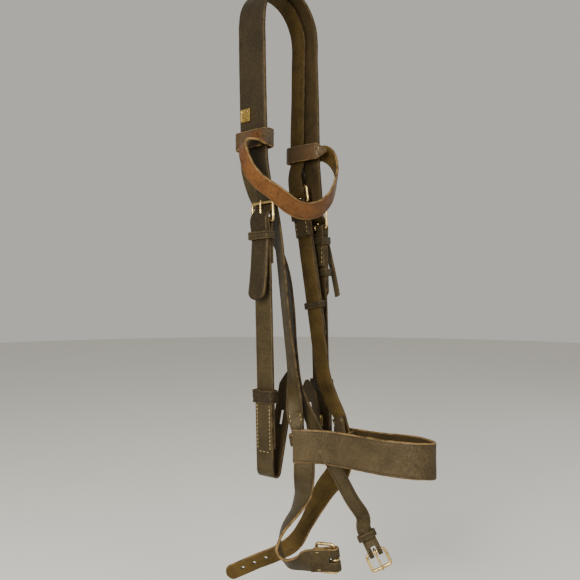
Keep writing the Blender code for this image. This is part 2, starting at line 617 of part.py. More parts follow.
def build_throatlash():
    """The long off strap with its free buckle, and the short near billet."""
    half = THROAT_WIDTH / 2
    top_y = -14.0 + CHEEK_WIDTH / 2 + 0.5 + half
    top_z = SPLIT_Z - FLEX_GAP
    seat = throat_seat()
    stops = chape(seat, THROAT_THICK, half, 26.0)
    flip = 1.0 if seat.s.y > 0 else -1.0
    low = Vector((-0.58, 0.69, -0.44))
    close = THROAT_THICK / 2 + GAP / 2
    stops = stops[:-1] + [(seat.at(24.0, close), seat.s, half, half)]
    route = [((9.5, -103.0, -533.0), low), ((3.8, -94.0, -517.0), low), ((0.0, -85.0, -500.0), low),
             ((-12.0, -65.0, -456.0), (-0.4, 0.85, -0.35)), ((-20.0, -48.0, -412.0), (0.4, 0.9, -0.2)),
             ((-19.0, -40.0, -372.0), (0.5, 0.87, 0.0)), ((-15.5, -33.0, -325.0), (0.5, 0.87, 0.0)),
             ((-12.0, -21.0, -285.0), (0.5, 0.87, 0.0)), ((-22.0, -6.0, -245.0), (0.3, 0.95, 0.0)),
             ((-34.0, 3.0, -214.0), (0.1, 1.0, 0.0)), ((-41.0, 5.5, -190.0), (0.0, 1.0, 0.0)),
             ((-LEG_X, top_y, top_z), (0.0, 1.0, 0.0))]
    stops += [(point, Vector(across) * flip, half, half) for point, across in route]
    obj = strap("throatlash", stops, THROAT_THICK, GOLDEN)
    tongue_slot(obj, seat)
    buckle("throat_buckle", seat, half, THROAT_BUCKLE_RISE)
    keeper("throat_keeper", seat, 17.0, -THROAT_THICK - 0.5, THROAT_THICK + 3.2, half + 0.6, 6.0, OLIVE)
    route = [((LEG_X, top_y, top_z), (0.0, 1.0, 0.0)), ((45.5, 5.0, -188.0), (0.0, 1.0, 0.0)),
             ((54.0, -2.0, -214.0), (0.2, 0.95, 0.0)), ((60.0, -16.0, -246.0), (0.5, 0.85, -0.2)),
             ((62.5, -27.0, -284.0), (0.6, 0.75, -0.2)), ((63.0, -35.0, -319.0), (0.6, 0.75, -0.2))]
    stops = [(point, Vector(across), half, half) for point, across in route]
    obj = strap("near_throat_billet", stops, THROAT_THICK, GOLDEN)
    start = Vector(route[-2][0])
    way = (Vector(route[-1][0]) - start).normalized()
    out = way.cross(Vector(route[-1][1])).normalized()
    for k, along in enumerate((0.0, 12.0, 24.0)):
        middle = start + way * along
        cut(obj, rod_cutter("cut_throat_hole_%d" % k, middle - out * 6, middle + out * 6, 1.5, way))


def main():
    for obj in list(bpy.data.objects):
        bpy.data.objects.remove(obj, do_unlink=True)
    build_headpiece()
    build_sliphead()
    build_near_nose_cheek()
    for prefix, side in (("off", -1.0), ("near", 1.0)):
        build_cheek(prefix, side)
    build_browband()
    build_noseband()
    build_chin_straps()
    build_throatlash()


main()
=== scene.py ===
import math

import bmesh
import bpy
from mathutils import Euler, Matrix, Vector, noise


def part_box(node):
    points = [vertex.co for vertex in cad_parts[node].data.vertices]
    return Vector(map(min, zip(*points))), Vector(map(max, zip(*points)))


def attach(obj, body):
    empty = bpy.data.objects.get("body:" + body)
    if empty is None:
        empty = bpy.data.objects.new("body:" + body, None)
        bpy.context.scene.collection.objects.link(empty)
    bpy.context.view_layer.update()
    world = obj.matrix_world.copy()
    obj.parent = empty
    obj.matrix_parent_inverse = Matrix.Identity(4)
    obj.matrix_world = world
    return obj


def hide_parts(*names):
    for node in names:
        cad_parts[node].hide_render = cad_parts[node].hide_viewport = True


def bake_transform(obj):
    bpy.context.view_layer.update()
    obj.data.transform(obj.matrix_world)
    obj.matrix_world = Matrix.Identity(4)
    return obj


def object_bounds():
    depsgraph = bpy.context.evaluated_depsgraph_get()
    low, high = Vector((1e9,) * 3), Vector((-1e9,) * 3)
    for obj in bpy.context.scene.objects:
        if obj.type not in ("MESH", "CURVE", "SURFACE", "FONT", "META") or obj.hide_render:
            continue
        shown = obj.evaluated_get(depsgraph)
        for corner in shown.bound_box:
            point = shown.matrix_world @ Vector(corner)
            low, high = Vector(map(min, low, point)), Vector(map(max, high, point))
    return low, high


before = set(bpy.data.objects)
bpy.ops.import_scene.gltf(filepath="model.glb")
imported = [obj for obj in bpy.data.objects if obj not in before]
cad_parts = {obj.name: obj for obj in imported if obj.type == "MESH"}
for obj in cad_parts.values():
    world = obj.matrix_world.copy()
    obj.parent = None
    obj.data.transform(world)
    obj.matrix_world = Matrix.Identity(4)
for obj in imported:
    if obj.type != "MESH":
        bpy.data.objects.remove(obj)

CAD_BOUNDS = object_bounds()
MM = 0.001
Y = Vector((0.0, 1.0, 0.0))
Z = Vector((0.0, 0.0, 1.0))

# Widths and thicknesses of the straps, as in the CAD model.
CROWN_WIDTH = 36.0
CHEEK_WIDTH = 22.0
SLIP_WIDTH = 19.0
THROAT_WIDTH = 14.0
BROW_WIDTH = 18.0
NOSE_HEIGHT = 33.0
CHIN_WIDTH = 23.0
CROWN_THICK = 3.2
CHEEK_THICK = 2.6
SLIP_THICK = 2.4
THROAT_THICK = 2.4
BROW_THICK = 2.6
NOSE_THICK = 3.2
CHIN_THICK = 2.8

# The room between layers; the headpiece's legs, arch and split, with the sliphead's arch inside.
GAP = 0.3
UNDER_GAP = 0.6
LEG_X = 43.0
SLIP_RADIUS = LEG_X - CROWN_THICK / 2 - UNDER_GAP - SLIP_THICK / 2
ARCH_Z = SLIP_THICK / 2 - SLIP_RADIUS
ARCH_STEPS = 8
SPLIT_Z = -172.0
CROWN_Y = -11.0

# Buckles: rods, and how far each frame rises above its bar. The off cheek billet springs outward.
ROD_R = 1.5
TONGUE_R = 1.1
SIDE_PLAY = 1.2
CHEEK_BAR = (44.0, -20.0, -244.0)
CHEEK_BUCKLE_RISE = 19.0
SLIP_BUCKLE_RISE = 17.0
THROAT_BUCKLE_RISE = 15.0
CHIN_BUCKLE_RISE = 19.0
CHIN_FRAME_TURN = 163.0
OFF_BILLET_SPREAD = 8.0
BAR_STEPS = 20
ARM_STEPS = 12

# Keepers: wall, play at each side of the strap, corner radius and spacing of their outline.
KEEPER_WALL = 2.0
KEEPER_PLAY = 0.6
KEEPER_CORNER = 2.2
KEEPER_STEP = 1.6

# Bit ends: distances down the cheekpiece from its buckle bar, and the free returns.
CHEEK_END_U = 224.0
LAP_TOP_U = 173.0
BIT_KEEPER_LENGTH = 13.0
FOLD_U = 252.0
FOLD_R = 6.0
FOLD_STEPS = 6
RETURN_LENGTHS = {"off": 99.0, "near": 84.0}
RETURN_TILTS = {"off": 16.0, "near": 11.0}
RETURN_SLOT = 52.0

# The loops sewn inside the noseband's ends, and the cheek straps that pass through them.
NOSE_LOOP_LENGTH = 12.0
LOOP_HALF = 6.0
LOOP_PLAY = 1.2
LOOP_REACH = KEEPER_WALL / 2 + LOOP_PLAY + SLIP_THICK / 2

# Fineness of the visual meshes, and the kinds of leather surface in the order of their materials.
STEP = 2.2
EDGE_STEPS = 4
FACE_STEPS = 10
LANE_STEPS = 8
GRAIN, EDGE, FLESH = 0, 1, 2

# Materials, lights and camera.
WARM_SHEEN = (1.0, 0.84, 0.6, 1.0)
EDGE_LINE_INSET = 2.3
LIGHT_AIM = Vector((0.0, -0.05, -0.3))
CAMERA_AZIMUTH = -50.0
CAMERA_DISTANCE = 0.64
CAMERA_SIDE = 0.014
CAMERA_HEIGHT = -0.312
CAMERA_LENS = 36.9


# ---- materials ----

class Nodes:
    """A short way to build one procedural material."""

    def __init__(self, name):
        self.material = bpy.data.materials.new(name)
        self.material.use_nodes = True
        self.tree = self.material.node_tree
        self.shader = self.tree.nodes["Principled BSDF"]

    def add(self, kind, inputs, **settings):
        """A shader node with its settings and inputs."""
        node = self.tree.nodes.new("ShaderNode" + kind)
        for name, value in settings.items():
            setattr(node, name, value)
        self.feed(node, inputs)
        return node

    def feed(self, node, inputs):
        """Link each input to another node's output, or set it to a value."""
        for key, value in inputs.items():
            if isinstance(value, bpy.types.NodeSocket):
                self.tree.links.new(value, node.inputs[key])
            else:
                node.inputs[key].default_value = value

    def coords(self, scale=(1.0, 1.0, 1.0)):
        """Positions on the object at rest, stretched by scale."""
        where = self.add("TexCoord", {}).outputs["Object"]
        return self.add("Mapping", {"Vector": where, "Scale": scale}).outputs["Vector"]

    def along(self, scale=(1.0, 1.0, 1.0)):
        """Positions along and across the strap, stretched by scale."""
        where = self.add("UVMap", {}, uv_map="strap").outputs["UV"]
        return self.add("Mapping", {"Vector": where, "Scale": scale}).outputs["Vector"]

    def attribute(self, name):
        return self.add("Attribute", {}, attribute_name=name).outputs["Fac"]

    def noise(self, vector, scale, detail=4.0, rough=0.55, warp=0.0):
        inputs = {"Vector": vector, "Scale": scale, "Detail": detail, "Roughness": rough,
                  "Distortion": warp}
        return self.add("TexNoise", inputs).outputs["Fac"]

    def cells(self, vector, scale):
        return self.add("TexVoronoi", {"Vector": vector, "Scale": scale}).outputs["Distance"]

    def ramp(self, value, low, high, out_low=0.0, out_high=1.0):
        inputs = {"Value": value, "From Min": low, "From Max": high, "To Min": out_low,
                  "To Max": out_high}
        return self.add("MapRange", inputs).outputs["Result"]

    def math(self, kind, a, b):
        return self.add("Math", {0: a, 1: b}, operation=kind).outputs["Value"]

    def mix(self, amount, one, two):
        """Two colours mixed; each is a node's output or a plain colour."""
        inputs = {"Factor": amount}
        for key, colour in ((6, one), (7, two)):
            inputs[key] = colour + (1.0,) if isinstance(colour, tuple) else colour
        return self.add("Mix", inputs, data_type="RGBA").outputs[2]

    def bump(self, layers):
        """Stack (height, distance in metres) layers into one normal."""
        below = {}
        for height, distance in layers:
            inputs = {"Height": height, "Distance": distance, "Strength": 1.0}
            below = {"Normal": self.add("Bump", inputs | below).outputs["Normal"]}
        self.feed(self.shader, below)

    def done(self, colour, rough, metal=0.0, specular=0.5):
        self.feed(self.shader, {"Base Color": colour, "Roughness": rough, "Metallic": metal,
                                "Specular IOR Level": specular, "Specular Tint": WARM_SHEEN})
        return self.material


def shade(colour, share):
    """A colour darkened to a share of itself."""
    return tuple(share * c for c in colour)


def grain_leather(name, dark, base, worn, rough=0.46):
    """Old waxed grain: mottled, scuffed pale near the edges, with pores, creases and an edge line."""
    n = Nodes(name)
    here = n.coords()
    mottle = n.noise(here, 38.0, 6.0, 0.62, 0.6)
    fine = n.noise(here, 420.0, 5.0, 0.6)
    pores = n.cells(here, 1500.0)
    scuffs = n.noise(n.along((60.0, 900.0, 1.0)), 1.0, 5.0, 0.65, 0.8)
    cracks = n.noise(n.along((1500.0, 170.0, 1.0)), 1.0, 4.0, 0.6, 0.5)
    patch = n.noise(n.along(), 95.0, 4.0, 0.6, 0.4)
    inset = n.attribute("edge_mm")
    bend = n.attribute("bend")
    grease_and_shade = n.attribute("grease_and_shade")
    colour = n.mix(n.ramp(mottle, 0.33, 0.66), dark, base)
    colour = n.mix(n.ramp(fine, 0.45, 0.75, 0.0, 0.22), colour, worn)
    colour = n.mix(n.ramp(scuffs, 0.6, 0.78, 0.0, 0.4), colour, worn)
    rubbed = n.math("MULTIPLY", n.ramp(inset, 1.6, 0.0), n.ramp(patch, 0.38, 0.62, 0.15, 0.95))
    colour = n.mix(rubbed, colour, worn)
    from_line = n.math("ABSOLUTE", n.math("SUBTRACT", inset, EDGE_LINE_INSET), 0.0)
    line = n.math("SUBTRACT", 1.0, n.ramp(from_line, 0.1, 0.45))
    colour = n.mix(n.math("MULTIPLY", line, 0.55), colour, shade(dark, 0.45))
    crease = n.math("MULTIPLY", n.ramp(cracks, 0.48, 0.36), bend)
    colour = n.mix(n.math("MULTIPLY", crease, 0.6), colour, shade(dark, 0.5))
    # Painted shade together with grease: darker on the browband's loops, where that attribute is set.
    darkening = n.math("MULTIPLY", grease_and_shade, n.ramp(mottle, 0.25, 0.6, 0.95, 0.7))
    colour = n.mix(darkening, colour, (0.3 * base[0], 0.22 * base[0], 0.12 * base[0]))
    roughness = n.math("ADD", n.ramp(mottle, 0.3, 0.7, rough + 0.1, rough - 0.08),
                       n.ramp(fine, 0.3, 0.8, -0.05, 0.12))
    n.bump([(n.math("MULTIPLY", line, -1.0), 0.00022), (n.math("MULTIPLY", crease, -1.0), 0.0004),
            (mottle, 0.0007), (fine, 0.00014), (pores, 0.00008)])
    return n.done(colour, roughness, specular=0.3)


def flesh_leather(name, dark, base, pale):
    """The inner side of a strap: matt, fibrous, darkened by wear and grease."""
    n = Nodes(name)
    here = n.coords()
    mottle = n.noise(here, 30.0, 6.0, 0.6, 0.8)
    fibre = n.noise(n.along((260.0, 1300.0, 1.0)), 1.0, 6.0, 0.7, 1.2)
    nap = n.noise(here, 1100.0, 4.0, 0.7)
    stain = n.noise(n.along((22.0, 130.0, 1.0)), 1.0, 3.0, 0.5, 0.5)
    colour = n.mix(n.ramp(mottle, 0.32, 0.68), dark, base)
    colour = n.mix(n.ramp(fibre, 0.5, 0.78, 0.0, 0.65), colour, pale)
    colour = n.mix(n.ramp(stain, 0.58, 0.8, 0.0, 0.7), colour, shade(dark, 0.6))
    roughness = n.ramp(fibre, 0.2, 0.8, 0.54, 0.76)
    n.bump([(mottle, 0.0006), (fibre, 0.00028), (nap, 0.00012)])
    return n.done(colour, roughness, specular=0.2)


def cut_edge(name, dark, pale):
    """The burnished cut edge: layered fibres, paler where the dye has rubbed off."""
    n = Nodes(name)
    here = n.coords()
    wear = n.noise(here, 120.0, 5.0, 0.6, 0.4)
    fibre = n.noise(here, 900.0, 5.0, 0.7, 1.0)
    colour = n.mix(n.ramp(wear, 0.36, 0.62), dark, pale)
    colour = n.mix(n.ramp(fibre, 0.4, 0.7, 0.0, 0.4), colour, shade(dark, 0.5))
    n.bump([(wear, 0.0004), (fibre, 0.0002)])
    return n.done(colour, n.ramp(wear, 0.3, 0.7, 0.5, 0.65), specular=0.25)


def aged_brass(name, bright, dull, rubbed):
    """Old brass: bright where it rubs, brown in its dips, finely scratched."""
    n = Nodes(name)
    here = n.coords()
    tarnish = n.noise(here, 150.0, 6.0, 0.6, 0.7)
    scratch = n.noise(n.coords((300.0, 2500.0, 900.0)), 1.0, 3.0, 0.6, 0.4)
    pits = n.noise(here, 1600.0, 3.0, 0.5)
    colour = n.mix(n.ramp(tarnish, 0.4, 0.68), bright, dull)
    colour = n.mix(n.ramp(scratch, 0.6, 0.75, 0.0, 0.4), colour, rubbed)
    roughness = n.math("ADD", n.ramp(tarnish, 0.35, 0.7, 0.2, 0.46), n.ramp(scratch, 0.4, 0.8, 0.0, 0.1))
    n.bump([(tarnish, 0.00025), (scratch, 0.00005), (pits, 0.00006)])
    return n.done(colour, roughness, metal=1.0)


def waxed_thread(name):
    """Waxed linen thread: twisted, pale yellow, darkened where it is soiled."""
    n = Nodes(name)
    here = n.coords()
    darkening = n.noise(here, 160.0, 4.0, 0.6)
    twist = n.add("TexWave", {"Vector": n.coords((1.0, 1.0, 0.8)), "Scale": 900.0})
    colour = n.mix(n.ramp(darkening, 0.35, 0.68), (0.36, 0.29, 0.13), (0.15, 0.11, 0.045))
    n.bump([(twist.outputs["Fac"], 0.00012)])
    return n.done(colour, n.ramp(darkening, 0.3, 0.7, 0.6, 0.75), specular=0.3)


PALE_EDGE = cut_edge("edge_pale", (0.045, 0.025, 0.008), (0.20, 0.125, 0.048))
DARK_EDGE = cut_edge("edge_dark", (0.012, 0.0075, 0.003), (0.065, 0.042, 0.017))
FLESH_SIDE = flesh_leather("flesh_golden", (0.024, 0.0138, 0.003), (0.062, 0.038, 0.009),
                           (0.14, 0.092, 0.030))
FLESH_DARK = flesh_leather("flesh_dark", (0.013, 0.008, 0.003), (0.034, 0.022, 0.0078),
                           (0.07, 0.047, 0.019))
HEAD_GRAIN = grain_leather("grain_dark_brown", (0.007, 0.0045, 0.0019), (0.0175, 0.012, 0.005),
                           (0.052, 0.036, 0.0155))
CHEEK_GRAIN = grain_leather("grain_olive_brown", (0.014, 0.0096, 0.0038), (0.033, 0.0235, 0.0092),
                            (0.075, 0.055, 0.024))
BROW_GRAIN = grain_leather("grain_reddish_tan", (0.048, 0.017, 0.0036), (0.125, 0.047, 0.0105),
                           (0.23, 0.108, 0.036), 0.38)
NOSE_GRAIN = grain_leather("grain_grey_brown", (0.021, 0.0142, 0.0062), (0.049, 0.034, 0.0155),
                           (0.105, 0.077, 0.037), 0.36)
BRASS = aged_brass("brass_aged", (0.62, 0.465, 0.195), (0.24, 0.16, 0.06), (0.84, 0.69, 0.37))
PLATE_BRASS = aged_brass("brass_plate", (0.60, 0.42, 0.12), (0.20, 0.125, 0.035), (0.82, 0.64, 0.28))
THREAD = waxed_thread("thread_waxed")

DARK_STRAP = (HEAD_GRAIN, DARK_EDGE, FLESH_DARK)
CHEEK_STRAP = (CHEEK_GRAIN, DARK_EDGE, FLESH_DARK)
SLIP_STRAP = (CHEEK_GRAIN, DARK_EDGE, FLESH_SIDE)
BROW_STRAP = (BROW_GRAIN, PALE_EDGE, FLESH_SIDE)
NOSE_STRAP = (NOSE_GRAIN, PALE_EDGE, FLESH_DARK)
CHIN_STRAP = (CHEEK_GRAIN, PALE_EDGE, FLESH_SIDE)


# ---- geometry ----

class Seat:
    """A local frame on a strap: u runs along it, n points out of its grain side, s lies across it."""

    def __init__(self, origin, down, out):
        self.o = Vector(origin)
        self.d = Vector(down).normalized()
        out = Vector(out)
        self.n = (out - self.d * out.dot(self.d)).normalized()
        self.s = self.d.cross(self.n)

    def at(self, u, n, s=0.0):
        return self.o + self.d * u + self.n * n + self.s * s


def sweep(start, end, steps):
    """Sine and cosine of evenly spaced angles from start to end, in degrees."""
    angles = [math.radians(start + (end - start) * k / steps) for k in range(steps + 1)]
    return [(math.sin(angle), math.cos(angle)) for angle in angles]


def clamp(value):
    return min(1.0, max(0.0, value))


def catmull(values, i, t):
    """A value at t between stops i and i + 1 of a smooth curve through all the stops."""
    a = values[max(i - 1, 0)]
    b = values[i]
    c = values[i + 1]
    d = values[min(i + 2, len(values) - 1)]
    return 0.5 * ((2 * b) + (c - a) * t + (2 * a - 5 * b + 4 * c - d) * t ** 2
                  + (3 * b - a - 3 * c + d) * t ** 3)


def mix(values, i, t):
    return values[i] * (1 - t) + values[i + 1] * t


def tangents(centres, closed=False):
    """The unit direction of travel at each centre."""
    last = len(centres) - 1
    result = []
    for i in range(len(centres)):
        before = centres[i - 1] if i or closed else centres[0]
        after = centres[(i + 1) % len(centres)] if i < last or closed else centres[last]
        result.append((after - before).normalized())
    return result


def strap_rows(stops, tips):
    """Rows of (centre, across, plus, minus) along a strap, its tips shaped."""
    columns = list(zip(*((Vector(centre), Vector(across), plus, minus)
                         for centre, across, plus, minus in stops)))
    centres = columns[0]
    rows = []
    for i in range(len(stops) - 1):
        parts = max(1, round((centres[i + 1] - centres[i]).length / STEP))
        for k in range(parts):
            t = k / parts
            rows.append([catmull(centres, i, t)] + [mix(column, i, t) for column in columns[1:]])
    rows.append([column[-1] for column in columns])
    rows = shape_tip(rows, tips[1])
    return shape_tip(rows[::-1], tips[0])[::-1]


def shape_tip(rows, style):
    """Narrow the last stretch of a strap's rows to a rounded or a pointed tip."""
    if style is None:
        return rows
    reach = {"round": 0.8, "point": 1.3}[style] * (rows[-1][2] + rows[-1][3]) / 2
    lengths = [0.0]
    for one, two in zip(rows[::-1], rows[-2::-1]):
        lengths.append(lengths[-1] + (two[0] - one[0]).length)
    lengths = lengths[::-1]
    kept = [row for row, left in zip(rows, lengths) if left > reach + 0.6]
    for share in (1.0, 0.85, 0.7, 0.55, 0.42, 0.3, 0.2, 0.12, 0.06, 0.02, 0.0):
        left = share * reach
        i = max(k for k in range(len(rows) - 1) if lengths[k] >= left)
        t = (lengths[i] - left) / (lengths[i] - lengths[i + 1])
        if style == "round":
            scale = max(math.sqrt(1 - (1 - share) ** 2), 0.2)
        else:
            scale = 0.16 + 0.84 * share ** 0.85
        row = [rows[i][k] * (1 - t) + rows[i + 1][k] * t for k in range(4)]
        middle = (row[2] - row[3]) / 2
        half = (row[2] + row[3]) / 2 * scale
        kept.append([row[0], row[1], middle + half, half - middle])
    return kept


def section(thick, width):
    """Points (share across, offset across, height, kind) round a strap with rounded edges."""
    half = thick / 2
    round_r = half * 0.62
    flat = (width - round_r) / width
    points = []
    for sign, kind in ((1, GRAIN), (-1, FLESH)):
        for k in range(FACE_STEPS + 1):
            share = -1.0 + 2.0 * k / FACE_STEPS
            points.append((sign * share * flat, 0.0, sign * half, kind))
        for up, over in sweep(90, -90, EDGE_STEPS)[1:-1]:
            points.append((sign * flat, sign * round_r * over, sign * half * up, EDGE))
    return points


def wobble(point, size, scale):
    """A smooth, repeatable unevenness at a point given in millimetres."""
    return size * noise.noise(point * scale)


def outward(bm):
    """Turn the faces of a closed surface outward."""
    bm.normal_update()
    bmesh.ops.recalc_face_normals(bm, faces=bm.faces)


def bridge(bm, rings, closed=False, kinds=None):
    """Join rings of vertices into a surface, capped at both ends unless it is a closed loop."""
    pairs = list(zip(rings, rings[1:]))
    if closed:
        pairs.append((rings[-1], rings[0]))
    for one, two in pairs:
        for j in range(len(one)):
            k = (j + 1) % len(one)
            face = bm.faces.new((one[j], one[k], two[k], two[j]))
            if kinds:
                face.material_index = kinds[j] if kinds[j] == kinds[k] else EDGE
    if not closed:
        for ring in (rings[0], rings[-1]):
            bm.faces.new(ring).material_index = EDGE if kinds else 0


class Skin:
    """Rings of leather vertices, with the coordinates and the wear that the materials read."""

    def __init__(self):
        self.bm = bmesh.new()
        self.uv = self.bm.loops.layers.uv.new("strap")
        self.inset = self.bm.verts.layers.float.new("edge_mm")
        self.bend = self.bm.verts.layers.float.new("bend")
        self.coords = {}
        self.rings = []

    def add(self, point, inset, bend, along, across):
        """Add a vertex to the last ring."""
        vert = self.bm.verts.new(point * MM)
        vert[self.inset] = max(0.0, inset)
        vert[self.bend] = bend
        self.coords[vert] = (along * MM, across * MM)
        self.rings[-1].append(vert)

    def join(self, kinds, closed):
        """Join the rings into one surface and lay the strap coordinates on it."""
        bridge(self.bm, self.rings, closed, kinds)
        for face in self.bm.faces:
            for loop in face.loops:
                loop[self.uv].uv = self.coords[loop.vert]
        outward(self.bm)
        return self.bm


def build_strap(name, stops, thick, leather, grain, tips=(None, None), uneven=0.12):
    """A finely meshed strap through its stops, its grain side on the side that grain names."""
    rows = strap_rows(stops, tips)
    travel = tangents([row[0] for row in rows])
    skin = Skin()
    distance = 0.0
    for i, ((centre, across, plus, minus), way) in enumerate(zip(rows, travel)):
        if i:
            distance += (centre - rows[i - 1][0]).length
        across = (across - way * across.dot(way)).normalized()
        out = way.cross(across)
        turn = (travel[min(i + 3, len(rows) - 1)] - travel[max(i - 3, 0)]).length
        width = (plus + minus) / 2
        middle = (plus - minus) / 2
        profile = section(thick, width)
        skin.rings.append([])
        for share, extra, side, _ in profile:
            a = middle + share * width + extra
            point = centre + across * a
            lift = wobble(point, uneven, 0.09) + wobble(point + Z * 40, uneven * 0.5, 0.25)
            point = point + across * wobble(centre + across * (20 if a > middle else -20), uneven, 0.12)
            point = point + out * (side * grain + lift)
            skin.add(point, width - abs(a - middle), min(1.0, 0.12 + turn * 1.3), distance, a)
    kinds = [corner[3] for corner in profile]
    return new_object(name, skin.join(kinds, False), leather)


def new_object(name, bm, materials, smooth=55.0):
    mesh = bpy.data.meshes.new(name)
    bm.to_mesh(mesh)
    bm.free()
    for material in materials:
        mesh.materials.append(material)
    obj = bpy.data.objects.new(name, mesh)
    bpy.context.scene.collection.objects.link(obj)
    mesh.shade_smooth()
    mesh.set_sharp_from_angle(angle=math.radians(smooth))
    return obj


def tube(bm, centres, radii, closed, normal, sides, squash=1.0):
    """A rod of changing radius that stays in one plane; squash flattens it along the plane's normal."""
    rings = []
    for centre, way, radius in zip(centres, tangents(centres, closed), radii):
        side = way.cross(normal).normalized()
        rings.append([bm.verts.new((centre + side * c * radius + normal * s * radius * squash) * MM)
                      for s, c in sweep(0, 360, sides)[:-1]])
    bridge(bm, rings, closed)


def rod(name, centres, radii, closed, normal, sides, material, squash=1.0):
    """A tube as a piece of its own."""
    bm = bmesh.new()
    tube(bm, centres, radii, closed, normal, sides, squash)
    outward(bm)
    return new_object(name, bm, (material,))


def place(obj, body, node):
    """Ride on a body and stand for a CAD node."""
    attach(obj, body)
    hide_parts(node)


def hang(obj, node, start):
    """Bake the piece's placement into its mesh, and stand for the node."""
    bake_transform(obj)
    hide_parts(node)


def bored(obj, cutters):
    """Cut holes or slots out of a piece and throw the cutters away."""
    for cutter in cutters:
        modifier = obj.modifiers.new("cut", "BOOLEAN")
        modifier.operation = "DIFFERENCE"
        modifier.solver = "EXACT"
        modifier.object = cutter
    depsgraph = bpy.context.evaluated_depsgraph_get()
    mesh = bpy.data.meshes.new_from_object(obj.evaluated_get(depsgraph))
    obj.modifiers.clear()
    obj.data = mesh
    for cutter in cutters:
        bpy.data.objects.remove(cutter, do_unlink=True)
    return obj


def rod_cutter(start, end, radius, normal):
    centres = [start, (start + end) / 2, end]
    return rod("cutter", centres, [radius] * 3, False, normal, 20, DARK_EDGE)


def box_cutter(centre, seat, size):
    """A box that lies square to a seat."""
    bm = bmesh.new()
    bmesh.ops.create_cube(bm, size=1.0)
    axes = (seat.d, seat.n, seat.s)
    for vert in bm.verts:
        offset = sum((axis * (vert.co[i] * size[i]) for i, axis in enumerate(axes)), Vector())
        vert.co = (centre + offset) * MM
    outward(bm)
    return new_object("cutter", bm, (DARK_EDGE,))


def stitches(name, paths, body, pitch=4.1, length=3.1, radius=0.42):
    """Rows of single stitches lying on a surface; each path is a list of (point, normal)."""
    bm = bmesh.new()
    for path in paths:
        points = [p for p, _ in path]
        total = sum((b - a).length for a, b in zip(points, points[1:]))
        count = max(1, int(total / pitch))
        for k in range(count):
            middle, way, normal = walk(path, (k + 0.5) * total / count)
            side = way.cross(normal).normalized()
            way = (way + side * 0.16).normalized()
            line = []
            radii = []
            for step in range(7):
                t = step / 6 * 2 - 1
                sink = -0.55 * abs(t) ** 3
                line.append(middle + way * (t * length / 2) + normal * (radius * 0.45 + sink))
                radii.append(radius * (1.0 - 0.35 * t * t))
            tube(bm, line, radii, False, way.cross(normal).normalized(), 8)
    outward(bm)
    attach(new_object(name, bm, (THREAD,)), body)


def walk(path, distance):
    """The point, direction and normal at a distance along a path of (point, normal)."""
    for (a, na), (b, nb) in zip(path, path[1:]):
        span = (b - a).length
        if distance <= span:
            t = distance / span
            return a.lerp(b, t), (b - a).normalized(), na.lerp(nb, t).normalized()
        distance -= span
    return path[-1][0], (path[-1][0] - path[-2][0]).normalized(), path[-1][1]


def lanes(seat, u_from, u_to, n, side, out=1.0):
    """Two straight stitch lines at height n, at the same distance from the middle on both sides."""
    reach = u_to - u_from
    return [[(seat.at(u_from + reach * k / LANE_STEPS, n, s), seat.n * out)
             for k in range(LANE_STEPS + 1)] for s in (-side, side)]


def rounded_loop(low_a, high_a, low_b, high_b, radius, steps):
    """Points (a, b) round a rectangle with rounded corners."""
    points = []
    corners = ((high_a, high_b, 0), (low_a, high_b, 90), (low_a, low_b, 180), (high_a, low_b, 270))
    for a, b, start in corners:
        mid_a = a - radius if a == high_a else a + radius
        mid_b = b - radius if b == high_b else b + radius
        arc = sweep(start, start + 90, steps)
        points += [(mid_a + radius * c, mid_b + radius * s) for s, c in arc]
    return points


def even_loop(points, spacing):
    """Points resampled evenly round a closed outline of (a, b) pairs."""
    loop = [Vector((a, b)) for a, b in points]
    result = []
    for one, two in zip(loop, loop[1:] + loop[:1]):
        parts = max(1, round((two - one).length / spacing))
        for k in range(parts):
            result.append(one.lerp(two, k / parts))
    return result


def keeper(name, seat, u, low_n, high_n, half, length, body, leather, wrinkle=0.25):
    """A worn leather loop round a strap."""
    w = KEEPER_WALL / 2
    corners = rounded_loop(-half - w, half + w, low_n - w, high_n + w, KEEPER_CORNER, 5)
    centres = [seat.at(u, n, s) for s, n in even_loop(corners, KEEPER_STEP)]
    profile = section(KEEPER_WALL, length / 2)
    skin = Skin()
    for i, (centre, way) in enumerate(zip(centres, tangents(centres, True))):
        out = way.cross(seat.d)
        facing = 1.0 if out.dot(centre - seat.at(u, (low_n + high_n) / 2)) > 0 else -1.0
        skin.rings.append([])
        for share, extra, side, _ in profile:
            a = share * length / 2 + extra
            point = centre + seat.d * a
            lift = wobble(point, wrinkle, 0.22) + wobble(point + Z * 9, wrinkle * 0.6, 0.6)
            point = point + seat.d * wobble(centre + seat.d * (9 if a > 0 else -9), wrinkle, 0.2)
            point = point + out * (side * facing + lift)
            skin.add(point, length / 2 - abs(a), 0.6, i * KEEPER_STEP, a)
    kinds = [corner[3] for corner in profile]
    place(new_object(name + "_leather", skin.join(kinds, True), leather), body, name)


def turned(u, n, degrees):
    """A point of a buckle's side view, turned about its bar."""
    a = math.radians(degrees)
    return u * math.cos(a) - n * math.sin(a), u * math.sin(a) + n * math.cos(a)


